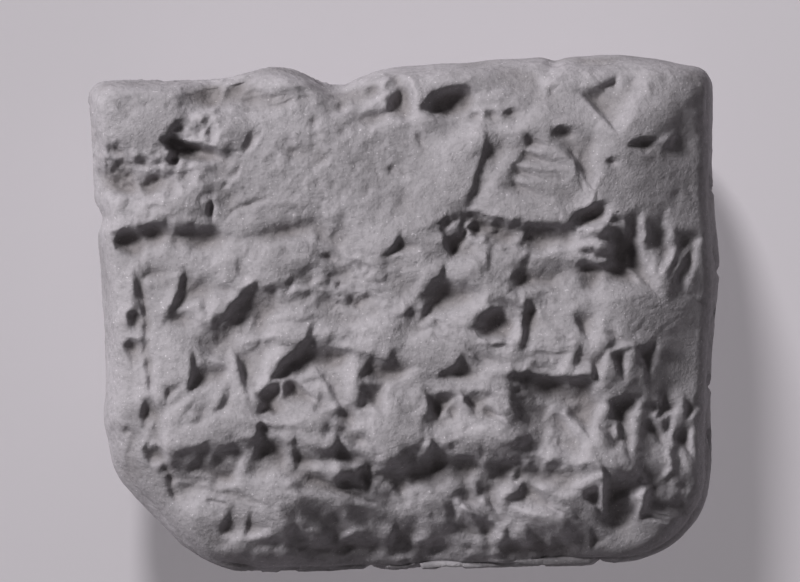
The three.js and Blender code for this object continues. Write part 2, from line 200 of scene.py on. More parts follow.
def surface_height(x, y, face=True):
    a = np.arctan2(y, x); R = rim_at(a); cs = squareness(a)
    share = np.minimum(1, np.hypot(x, y) / R)
    width = roll_width(FACE_ROLL if face else BACK_ROLL, a)
    inset = (1 - share) * R * cs
    fade = np.clip(inset / 3, 0, 1)
    if face:
        fall = roll_width(FALL_SLOPE, a) * FALL_BLEND * np.log1p(np.exp((roll_width(FALL_WIDTH, a) - inset) / FALL_BLEND))
        return EQUATOR_Z + edge_section(inset, width, 1.0) * (THICKNESS - EQUATOR_Z - fall - FACE_CROWN * share ** 2) + unevenness(x, y) * fade
    return EQUATOR_Z - edge_section(inset, width, EQUATOR_Z) + (BACK_BELLY * (share ** 2 - REST_SHARE ** 2) + 0.5 * unevenness(y, x)) * fade

# Pressings of the stylus: head x, y, tail x, y, width, depth, lean, heel.
PRESSINGS = [
    (15.56, 17.18, 16.09, 12.9, 3.75, 1.0, 0.75, 0.1), (10.99, 17.02, 10.84, 15.82, 0.82, 0.55, 0.3, 0.2),
    (16.31, 17.32, 13.31, 16.35, 1.05, 0.8, 0.2, 0.1), (13.01, 13.28, 14.59, 8.17, 2.25, 0.95, 0.55, 0.12),
    (7.76, 13.28, 4.39, 6.97, 2.55, 0.95, 0.62, 0.1), (8.81, 12.9, 11.81, 12.22, 1.12, 0.75, 0.3, 0.12),
    (8.36, 11.85, 12.11, 11.1, 1.05, 0.7, 0.3, 0.12), (7.91, 10.8, 11.36, 9.9, 1.05, 0.7, 0.3, 0.12),
    (7.61, 9.82, 10.76, 8.55, 0.97, 0.6, 0.3, 0.12), (5.81, 12.38, 4.76, 11.47, 1.05, 0.5, 0.2, 0.2),
    (18.11, 12.67, 17.66, 11.62, 1.35, 0.5, 0.2, 0.3), (15.94, 6.67, 19.46, 0.53, 2.7, 1.35, 0.35, 0.1),
    (19.76, 5.92, 18.56, 2.48, 2.25, 1.0, 0.1, 0.15), (21.41, 6.22, 19.24, 1.72, 1.65, 0.9, 0.3, 0.08),
    (14.74, 7.72, 12.04, 5.92, 1.5, 1.0, 0.2, 0.1), (0.49, 5.62, -1.84, 3.82, 1.35, 1.15, 0.35, 0.1),
    (3.56, 7.12, 1.46, 5.92, 0.75, 0.5, 0.3, 0.1), (3.86, 5.92, 3.41, 3.97, 1.8, 0.95, 0.3, 0.2),
    (13.91, 6.22, 11.66, 5.77, 1.05, 0.45, 0.2, 0.1), (-15.11, 2.62, -17.59, -0.53, 1.95, 1.05, 0.35, 0.1),
    (-10.09, 1.43, -15.04, -1.72, 2.25, 1.15, 0.35, 0.1), (-7.69, 3.23, -9.04, 1.12, 2.25, 1.1, 0.25, 0.15),
    (4.39, 2.62, 0.56, -1.12, 2.55, 1.4, 0.25, 0.1), (14.36, 3.82, 19.76, 0.67, 1.65, 0.75, 0.55, 0.1),
    (2.36, 0.22, 5.96, -1.12, 0.9, 0.5, 0.4, 0.1), (1.91, -0.53, 5.51, -2.25, 0.9, 0.5, 0.4, 0.1),
    (1.76, -1.43, 5.81, -3.67, 1.05, 0.6, 0.4, 0.1), (-4.09, 2.92, -5.59, 1.12, 1.5, 0.7, 0.3, 0.2),
    (-14.44, -3.67, -16.09, -6.22, 2.55, 1.3, 0.25, 0.14), (-17.29, -5.02, -17.74, -6.83, 1.35, 0.8, 0.2, 0.2),
    (-11.29, -2.25, -11.14, -7.88, 1.95, 0.95, 0.6, 0.06), (-5.59, -2.32, -10.69, -5.33, 3.0, 1.55, 0.25, 0.1),
    (-10.09, -5.47, -9.19, -7.42, 1.8, 1.1, 0.2, 0.15), (-9.04, -5.47, -5.14, -7.27, 1.65, 0.85, 0.45, 0.1),
    (-4.84, -3.82, -4.09, -8.47, 1.95, 0.95, 0.6, 0.06), (-1.84, -3.82, -3.49, -4.72, 1.8, 1.2, 0.2, 0.2),
    (-2.14, -4.88, -1.24, -8.32, 1.8, 0.85, 0.55, 0.08), (4.76, -3.82, 2.66, -5.02, 1.65, 1.0, 0.25, 0.15),
    (8.66, -4.27, 13.16, -4.42, 1.2, 0.5, 0.6, 0.1), (9.79, -1.2, 13.01, -1.57, 0.67, 0.4, 0.4, 0.1),
    (10.01, -2.1, 13.01, -2.48, 0.67, 0.4, 0.4, 0.1), (10.16, -3.0, 12.86, -3.3, 0.67, 0.4, 0.4, 0.1),
    (14.96, -2.02, 17.96, -2.32, 1.12, 0.85, 0.3, 0.1), (14.36, -2.77, 14.66, -5.77, 1.2, 0.8, 0.5, 0.08),
    (16.16, -2.48, 16.31, -5.77, 1.27, 0.85, 0.5, 0.08), (18.04, -2.17, 18.26, -5.62, 1.27, 0.85, 0.5, 0.08),
    (13.61, 0.22, 13.91, -3.52, 1.5, 0.8, 0.6, 0.08), (-14.96, -6.75, -17.29, -8.47, 1.2, 0.85, 0.2, 0.1),
    (2.66, -6.08, 2.36, -7.88, 1.95, 1.25, 0.2, 0.2), (5.51, -6.08, 5.21, -7.72, 1.95, 1.2, 0.2, 0.2),
    (4.91, -7.42, 9.71, -9.38, 1.8, 0.8, 0.5, 0.1), (3.56, -6.52, 4.01, -8.62, 1.05, 0.6, 0.5, 0.1),
    (13.39, -6.3, 14.06, -10.28, 1.8, 1.05, 0.5, 0.08), (15.11, -7.57, 15.71, -9.67, 1.65, 0.9, 0.2, 0.15),
    (16.46, -6.08, 16.91, -12.07, 1.8, 1.1, 0.5, 0.06), (20.06, -6.38, 18.56, -8.17, 1.35, 0.9, 0.3, 0.1),
    (19.01, -7.88, 19.91, -11.62, 1.5, 0.9, 0.4, 0.1), (21.71, -6.22, 20.81, -8.47, 1.2, 0.7, 0.3, 0.1),
    (20.66, -8.47, 22.01, -11.32, 1.5, 0.85, 0.4, 0.1), (-13.54, -10.72, -17.44, -12.67, 3.0, 1.5, 0.15, 0.12),
    (-9.34, -9.38, -11.89, -11.78, 3.0, 1.35, 0.15, 0.12), (-6.94, -9.82, -8.74, -12.07, 2.1, 1.2, 0.2, 0.12),
    (-6.34, -9.82, -6.19, -12.82, 1.05, 0.7, 0.5, 0.1), (-4.24, -9.82, -5.59, -11.03, 1.65, 1.0, 0.2, 0.15),
    (-3.94, -12.22, -5.44, -13.12, 1.8, 0.95, 0.2, 0.15), (-2.89, -11.03, -2.44, -13.88, 1.35, 0.9, 0.5, 0.1),
    (-17.44, -12.67, -9.04, -14.77, 2.7, 0.8, 0.7, 0.03), (-8.14, -12.22, -1.24, -14.47, 1.65, 0.95, 0.5, 0.06),
    (3.41, -10.28, 1.46, -12.82, 2.85, 1.35, 0.2, 0.12), (7.46, -11.03, 5.81, -12.07, 1.5, 1.0, 0.2, 0.15),
    (9.26, -11.32, 8.21, -12.82, 1.65, 0.95, 0.2, 0.15), (6.26, -11.62, 7.31, -15.82, 1.95, 0.95, 0.4, 0.08),
    (4.16, -12.67, 7.76, -16.12, 1.5, 0.9, 0.45, 0.08), (8.21, -13.12, 13.91, -15.97, 1.65, 0.95, 0.4, 0.06),
    (16.46, -11.92, 14.96, -15.38, 3.0, 1.5, 0.1, 0.12), (11.66, -11.03, 13.91, -12.38, 1.5, 0.9, 0.3, 0.15),
    (13.91, -12.82, 15.26, -15.67, 1.2, 0.8, 0.4, 0.1), (18.11, -12.82, 19.76, -13.42, 0.75, 0.5, 0.4, 0.1),
    (17.96, -13.88, 19.91, -14.62, 0.75, 0.5, 0.4, 0.1), (17.66, -14.92, 19.46, -15.82, 0.75, 0.5, 0.4, 0.1),
    (-0.34, -11.62, 0.41, -15.38, 1.65, 0.7, 0.3, 0.1), (-10.69, -15.38, -12.34, -16.88, 1.65, 0.7, 0.2, 0.2),
    (-7.54, -15.97, -9.04, -17.47, 1.8, 0.75, 0.2, 0.2), (-4.39, -15.38, -5.59, -17.32, 1.8, 0.75, 0.2, 0.2),
    (0.26, -15.97, -1.24, -17.77, 1.95, 0.8, 0.2, 0.2), (2.81, -16.88, 1.61, -18.38, 1.5, 0.7, 0.2, 0.2),
    (8.36, -16.88, 7.01, -18.22, 1.8, 0.75, 0.2, 0.2), (11.81, -16.88, 10.61, -18.22, 1.65, 0.7, 0.2, 0.2),
    (14.66, -16.12, 13.76, -17.77, 1.35, 0.6, 0.2, 0.2),
]
# Hollows (depth above 0) and lumps (below 0): x, y, half length, half width, turn, depth, raggedness.
HOLLOWS = [
    (-6.34, 9.38, 7.88, 4.65, 20, -0.1, 0), (5.66, 6.22, 6.0, 1.5, 2, 0.22, 0.3), (-14.96, -6.38, 4.5, 4.5, 0, 0.1, 0),
    (11.66, -6.38, 3.6, 2.55, -8, 0.9, 0.1), (1.16, -2.62, 4.5, 3.75, 0, 0.18, 0.2), (-7.84, 1.12, 6.75, 2.25, 8, 0.25, 0.2),
    (-19.84, 15.6, 1.65, 0.97, 8, 0.5, 0.3), (-21.04, 15.52, 0.53, 0.67, 30, 0.45, 0.2), (-18.71, 14.17, 1.8, 1.05, 10, -0.5, 0.2),
    (-15.11, 16.12, 1.95, 0.97, 12, 1.05, 0.3), (-12.34, 16.72, 1.27, 0.45, 42, 0.5, 0.2), (-9.04, 17.32, 3.0, 0.97, -10, -0.35, 0.2),
    (-8.06, 17.18, 0.38, 0.22, 0, 0.3, 0), (-7.39, 16.65, 0.53, 0.22, -30, 0.35, 0), (-15.71, 13.65, 1.8, 1.12, -10, 0.55, 0.3),
    (-14.44, 13.65, 0.45, 1.2, 10, 0.5, 0.2), (-15.34, 12.15, 1.8, 0.56, -14, 1.5, 0.1), (-21.19, 10.28, 1.5, 1.12, -15, 1.05, 0.3),
    (-20.74, 12.22, 1.2, 0.9, 0, 0.35, 0.3), (-18.11, 11.17, 1.8, 1.35, 0, -0.3, 0.5), (-16.99, 11.4, 0.38, 0.45, 0, 0.7, 0),
    (-18.34, 9.82, 1.12, 0.75, 25, 0.6, 0.4), (-17.59, 8.25, 3.45, 1.12, 14, -0.42, 0.1), (-21.94, 7.72, 1.27, 2.25, 12, -0.22, 0.1),
    (-20.36, 5.33, 1.2, 0.67, -8, 0.9, 0.3), (-18.26, 5.77, 0.97, 0.9, 0, 0.7, 0.3), (-15.19, 5.77, 1.95, 0.82, 2, 0.55, 0.4),
    (-14.14, 7.72, 0.22, 0.82, 0, 0.55, 0), (-21.19, 13.5, 1.05, 0.53, 0, -0.25, 0.3), (-11.36, 12.97, 0.24, 0.97, -30, 0.3, 0.2),
    (-12.79, 10.35, 0.24, 1.12, -32, 0.28, 0.2), (-11.44, 8.17, 1.27, 0.24, 24, 0.25, 0.2), (-6.49, 11.92, 1.95, 1.12, -10, 0.32, 0.6),
    (-8.96, 6.08, 2.02, 0.6, 12, 0.4, 0.4), (-4.61, 15.45, 0.38, 0.3, 0, 0.35, 0), (-4.46, 13.57, 0.3, 0.26, 0, 0.3, 0),
    (-1.01, 10.65, 0.26, 0.26, 0, 0.35, 0), (-6.71, 14.17, 0.3, 0.38, 0, 0.28, 0), (-5.96, 11.4, 0.6, 0.38, 20, 0.3, 0.3),
    (-2.44, 12.38, 0.75, 0.45, 0, 0.15, 0.5), (-0.04, 12.15, 0.9, 1.05, 0, 0.1, 0.3), (1.39, 12.75, 0.22, 0.75, 25, 0.25, 0),
    (-8.74, 4.42, 2.4, 1.2, 8, -0.35, 0.2), (-3.64, 6.67, 3.0, 1.5, -10, -0.2, 0.1), (-2.36, 16.65, 0.67, 0.45, 10, 0.45, 0.2),
    (-0.19, 16.05, 0.9, 1.35, 8, 1.15, 0.3), (-1.99, 14.55, 1.65, 0.6, 12, 0.4, 0.3), (1.31, 16.2, 0.67, 0.97, 25, -0.35, 0.1),
    (3.49, 15.9, 1.57, 0.9, 14, 1.1, 0.3), (4.01, 17.85, 0.6, 0.22, 0, 0.3, 0), (5.29, 14.77, 0.45, 0.3, 20, 0.35, 0.2),
    (6.64, 14.77, 0.38, 0.34, 0, 0.4, 0.2), (8.06, 15.0, 0.6, 0.34, 10, 0.4, 0.2), (7.16, 15.6, 1.95, 0.22, 3, 0.15, 0.3),
    (-4.46, 17.18, 1.5, 0.75, 0, 0.15, 0.4), (11.96, 13.28, 0.75, 0.53, 0, 0.6, 0.2), (15.49, 11.32, 0.38, 0.34, 0, 0.45, 0),
    (17.96, 12.6, 0.97, 0.45, 10, 0.55, 0.4), (19.61, 12.97, 0.75, 0.38, 35, -0.25, 0.3), (18.79, 11.62, 1.05, 0.9, 0, 0.1, 0.2),
    (10.54, 5.77, 1.95, 0.97, 8, 1.05, 0.5), (7.54, 6.08, 2.1, 0.67, -5, 0.8, 0.6), (13.91, 7.42, 1.2, 0.53, 22, 0.95, 0.3),
    (5.66, 6.97, 1.5, 0.45, -5, 0.45, 0.6), (14.29, 6.38, 1.5, 0.45, 3, -0.35, 0.3), (14.14, 5.1, 1.43, 0.45, 0, -0.35, 0.3),
    (14.06, 3.97, 1.35, 0.45, -4, -0.35, 0.3), (16.01, 4.88, 0.75, 1.95, 8, 0.85, 0.2), (18.79, 5.02, 1.05, 1.65, -22, 0.65, 0.1),
    (21.11, 3.75, 0.6, 1.95, -18, 0.45, 0.1), (14.21, 3.38, 1.05, 0.45, -12, 0.5, 0.1), (20.36, 3.97, 0.22, 0.3, 0, 0.3, 0),
    (4.91, 3.52, 3.15, 0.9, 4, -0.4, 0.2), (3.19, 1.72, 1.27, 1.05, 30, 0.8, 0.2), (-7.76, 2.92, 1.35, 1.05, 20, 0.75, 0.2),
    (-3.71, 2.17, 1.95, 1.5, -20, 0.35, 0.8), (-2.96, 1.12, 0.9, 0.6, 0, 0.4, 0.5), (6.79, -0.67, 1.27, 1.05, -4, 1.15, 0.25),
    (8.36, -1.35, 0.38, 1.12, -12, -0.3, 0.1), (6.86, -2.02, 1.35, 0.3, 2, -0.25, 0.1), (9.41, -0.22, 0.6, 1.2, 0, 0.6, 0.3),
    (-2.21, -1.5, 1.05, 3.0, -36, -0.45, 0.2), (-7.84, -1.35, 4.05, 0.45, 4, -0.3, 0.3), (-7.84, -0.53, 3.45, 0.22, 5, 0.2, 0.3),
    (-19.91, -0.38, 0.53, 0.75, 0, 0.6, 0.3), (-19.99, -2.4, 0.6, 0.53, 0, 0.6, 0.3), (-19.61, 1.8, 0.3, 1.05, 4, 0.5, 0.3),
    (-12.19, -0.22, 1.5, 0.75, 40, 0.5, 0.2), (-12.94, 3.97, 1.5, 0.9, 0, -0.25, 0.2), (11.36, -2.25, 1.95, 1.65, 0, -0.1, 0.2),
    (10.54, -4.27, 3.15, 0.45, -1, -0.35, 0.1), (11.66, -5.77, 2.7, 0.75, -5, 0.55, 0.2), (15.41, 0.38, 2.25, 1.8, 0, -0.12, 0),
    (-16.84, -7.35, 1.65, 0.67, 18, -0.35, 0.1), (-15.34, -8.62, 1.95, 0.67, 8, -0.35, 0.1), (-10.09, -7.88, 4.5, 0.41, -3, -0.42, 0.1),
    (-11.21, -4.88, 0.67, 2.25, 0, -0.15, 0), (-15.11, -11.78, 2.55, 0.97, 6, 0.55, 0.2), (-10.24, -10.57, 1.8, 1.2, 10, 0.45, 0.2),
    (-7.84, -11.03, 1.5, 1.05, 0, 0.3, 0.2), (-4.69, -11.4, 1.2, 0.6, 15, -0.4, 0.1), (-13.69, -14.03, 0.97, 0.22, -14, 0.4, 0.2),
    (-19.09, -7.27, 0.45, 1.12, 4, 0.6, 0.2), (-18.49, -10.42, 0.6, 0.6, 0, 0.8, 0.1), (-20.59, -8.7, 0.3, 0.3, 0, 0.4, 0.1),
    (-21.56, -8.62, 0.3, 0.53, 0, 0.35, 0.3), (-7.09, -3.38, 1.95, 1.12, 22, 0.5, 0.3), (-1.46, -4.2, 1.27, 0.6, 8, 0.55, 0.3),
    (-4.09, -6.0, 1.5, 2.25, 0, -0.15, 0.1), (3.56, -4.42, 1.2, 0.53, 18, 0.45, 0.3), (6.79, -8.62, 2.55, 0.6, -16, -0.35, 0.1),
    (2.66, -11.32, 1.65, 1.43, 20, 0.5, 0.3), (7.16, -11.47, 1.65, 0.67, 0, 0.5, 0.3), (12.41, -11.92, 2.4, 0.67, 4, 0.55, 0.3),
    (15.94, -13.57, 1.12, 1.8, 0, 0.55, 0.2), (5.66, -14.77, 1.8, 1.05, -35, -0.25, 0.1), (10.54, -15.0, 2.4, 0.75, -24, -0.3, 0.1),
    (1.91, -14.25, 1.95, 1.2, 0, -0.18, 0.2), (-2.44, -12.38, 1.2, 1.5, 0, 0.18, 0.5), (19.54, -9.75, 0.67, 3.0, 8, -0.25, 0.1),
    (18.79, -14.25, 1.65, 1.8, 0, -0.2, 0.1), (21.41, -9.75, 0.6, 1.65, 0, -0.2, 0.1), (14.66, -8.25, 0.9, 1.95, 8, -0.15, 0.2),
    (9.64, -7.88, 1.2, 1.95, 30, 0.35, 0.2),
]
# Long troughs along the rows: way, width, depth, lean of the bottom to the upper side.
FURROWS = [
    ([(-18.34, -11.03), (-14.21, -11.03), (-10.09, -10.72), (-5.59, -11.32), (-0.71, -12.07)], 3.75, 1.15, 0.35),
    ([(-0.94, -12.82), (3.41, -11.62), (8.66, -11.92), (14.66, -12.38)], 3.45, 1.0, 0.3),
    ([(-9.49, -2.77), (-5.59, -3.52), (0.41, -4.42)], 3.0, 1.0, 0.35),
    ([(-5.14, -6.22), (-4.46, -9.38), (-1.84, -11.62)], 3.3, 0.8, 0.5),
    ([(7.16, -5.47), (10.91, -5.92), (14.66, -6.08)], 3.45, 1.3, 0.55),
    ([(5.66, 6.38), (9.41, 5.77), (13.54, 5.33)], 2.85, 1.1, 0.3),
    ([(-14.59, -16.72), (-7.84, -17.47), (1.16, -17.77), (11.66, -17.77), (15.41, -17.25)], 2.25, 0.6, 0.2),
    ([(-16.09, 2.17), (-12.34, 1.27), (-7.84, 1.43)], 2.55, 0.7, 0.3),
    ([(-0.71, 0.67), (3.41, 1.12), (10.16, -0.22)], 2.55, 0.7, 0.2),
    ([(-22.46, 13.88), (-20.96, 10.5), (-17.21, 10.72)], 2.55, 0.7, 0.3),
    ([(10.16, -7.5), (11.66, -9.38), (12.79, -11.62)], 3.0, 0.9, 0.5),
    ([(-21.71, 5.47), (-17.59, 5.62), (-13.09, 5.92)], 1.65, 0.6, 0.2),
]
# Crumbled patches: x, y, half length, half width, turn, height and size of the crumbs.
CRUMBS = [
    (-18.34, 12.0, 5.85, 5.62, 0, 0.42, 1.7), (-5.59, 10.88, 7.88, 4.95, 10, 0.13, 1.3), (-3.34, 1.88, 4.5, 2.7, -20, 0.16, 1.0),
    (7.91, 6.22, 6.75, 1.8, 0, 0.2, 1.1), (-0.34, 15.75, 6.75, 2.1, 5, 0.12, 1.1), (8.66, 1.12, 2.55, 3.0, 0, 0.14, 1.0),
    (-1.09, -9.38, 4.5, 4.12, 0, 0.1, 0.8), (-20.59, -8.62, 1.95, 5.25, 0, 0.06, 0.7), (11.66, -10.12, 3.38, 2.62, 0, 0.12, 0.9),
    (-8.59, -1.12, 6.75, 1.95, 5, 0.1, 1.0), (5.66, -10.5, 4.5, 3.0, 0, 0.1, 0.9), (13.91, 5.25, 2.25, 2.25, 0, 0.1, 0.9),
    (-21.34, 1.12, 1.65, 4.5, 0, 0.07, 0.9), (18.79, 12.38, 1.65, 1.05, 0, 0.12, 0.8), (-12.34, -9.38, 5.25, 2.25, 0, 0.06, 0.9),
    (17.66, -10.88, 3.75, 3.75, 0, 0.05, 0.8),
]
# Cracks, scored lines and thin crests (depth below 0): way, width, depth.
SCORES = [
    ([(-19.46, 5.77), (-19.24, 1.12), (-19.09, -2.62), (-18.86, -4.88), (-18.64, -7.12), (-18.26, -9.38), (-17.74, -11.62), (-17.06, -13.65), (-15.94, -15.67)], 0.41, 0.6),
    ([(-10.69, 13.72), (-11.21, 12.97), (-11.81, 11.92)], 0.17, 0.22),
    ([(-12.19, 11.4), (-12.64, 10.28), (-13.54, 9.22)], 0.17, 0.22),
    ([(-10.46, 8.62), (-11.59, 8.17), (-12.64, 7.72), (-13.46, 6.83)], 0.15, 0.2),
    ([(-13.09, 12.22), (-12.11, 12.07)], 0.15, 0.2),
    ([(-7.09, 6.97), (-6.49, 5.62), (-4.84, 4.58), (-1.99, 3.82)], 0.22, -0.16),
    ([(-14.96, 12.38), (-16.61, 12.67)], 0.22, 0.5),
    ([(17.66, 17.77), (18.11, 17.02), (18.41, 16.43)], 0.17, -0.14),
    ([(19.31, 18.68), (19.76, 18.07), (20.06, 17.4)], 0.15, -0.1),
    ([(13.46, 18.52), (13.91, 17.62), (14.21, 17.18)], 0.15, -0.12),
    ([(12.34, 12.53), (12.71, 10.88), (13.76, 8.62)], 0.2, 0.22),
    ([(20.59, 1.95), (21.71, 1.35), (23.14, 0.45)], 0.22, 0.25),
    ([(14.36, 10.42), (14.14, 9.22), (13.91, 8.32)], 0.15, -0.12),
    ([(-13.09, 14.47), (-10.84, 15.22), (-8.96, 15.67), (-5.96, 16.43)], 0.18, 0.16),
    ([(-14.96, 14.47), (-12.34, 15.67), (-8.59, 16.35)], 0.22, 0.18),
    ([(-14.21, 15.22), (-11.96, 16.12), (-10.09, 16.72)], 0.22, 0.15),
    ([(1.61, -1.43), (3.56, -2.32), (5.81, -3.67)], 0.18, -0.2),
    ([(4.46, -8.25), (5.81, -7.57), (7.54, -8.17), (9.41, -9.38)], 0.26, -0.22),
    ([(8.66, -13.88), (10.16, -13.57), (11.66, -14.47), (13.46, -15.67)], 0.24, -0.2),
    ([(3.41, -13.88), (5.51, -14.77), (7.61, -16.12)], 0.24, -0.2),
    ([(-10.69, -7.42), (-8.59, -7.2), (-5.59, -8.17)], 0.24, -0.2),
    ([(-6.34, -12.67), (-4.09, -13.28), (-1.39, -14.32)], 0.22, 0.3),
    ([(-8.14, -12.15), (-5.59, -13.28), (-1.54, -14.77)], 0.2, -0.12),
    ([(20.06, -6.22), (18.86, -7.42), (19.16, -9.38), (20.06, -11.47), (18.41, -12.97)], 0.3, -0.25),
    ([(14.66, -11.62), (14.81, -13.88), (15.41, -15.38)], 0.22, -0.2),
    ([(17.66, -11.47), (17.66, -13.88), (17.36, -15.38)], 0.3, -0.25),
    ([(8.66, -0.22), (8.74, -1.27), (8.21, -2.48)], 0.22, -0.22),
    ([(-17.21, -12.53), (-14.59, -12.67), (-12.04, -13.12)], 0.22, -0.2),
    ([(5.66, -1.88), (7.91, -1.88)], 0.26, -0.22),
    ([(7.91, -3.82), (10.54, -3.52), (13.31, -3.97)], 0.34, -0.25),
]
# Patches of drag marks: x, y, half length, half width, turn, pitch, depth, bend.
DRAGS = [
    (18.04, 0.22, 3.6, 1.95, 40, 0.45, 0.05, 0.012), (5.66, 14.47, 3.3, 0.6, 8, 0.38, 0.03, 0), (10.16, 10.72, 2.55, 2.1, -14, 0.53, 0.05, 0),
    (18.79, -14.47, 1.5, 1.95, -18, 0.49, 0.08, 0), (3.56, -0.97, 2.55, 1.5, -22, 0.53, 0.07, 0), (-7.24, -6.38, 1.95, 1.05, -24, 0.45, 0.07, 0),
    (-13.24, -6.38, 1.65, 1.2, -30, 0.45, 0.05, 0), (-15.64, 13.57, 1.5, 0.9, 5, 0.41, 0.07, 0), (11.36, -2.48, 1.8, 1.65, -4, 0.53, 0.07, 0),
    (-14.96, 5.77, 1.8, 0.75, 2, 0.38, 0.07, 0), (16.91, 15.75, 1.8, 2.25, 60, 0.53, 0.02, 0), (-10.46, 4.72, 2.25, 1.05, 60, 0.67, 0.06, 0),
    (-10.09, -14.25, 3.75, 0.75, -12, 0.45, 0.04, 0), (20.29, 8.62, 2.25, 3.0, 75, 0.6, 0.02, 0), (-9.71, 15.52, 3.75, 1.05, 16, 0.38, 0.045, 0),
    (20.66, -13.88, 1.88, 3.0, -70, 0.6, 0.02, 0),
]
# Sounder, smoother patches: x, y, half length, half width.
SOUND = [
    (-5.59, 11.25, 8.25, 4.5), (16.54, 12.38, 6.38, 6.0), (21.41, -1.12, 3.38, 14.25), (16.16, 0.22, 4.5, 2.25),
    (-21.94, -1.88, 1.95, 11.25), (-17.96, -15.38, 4.5, 3.75), (17.66, -16.88, 6.0, 2.62), (10.16, 11.25, 3.75, 3.0),
]
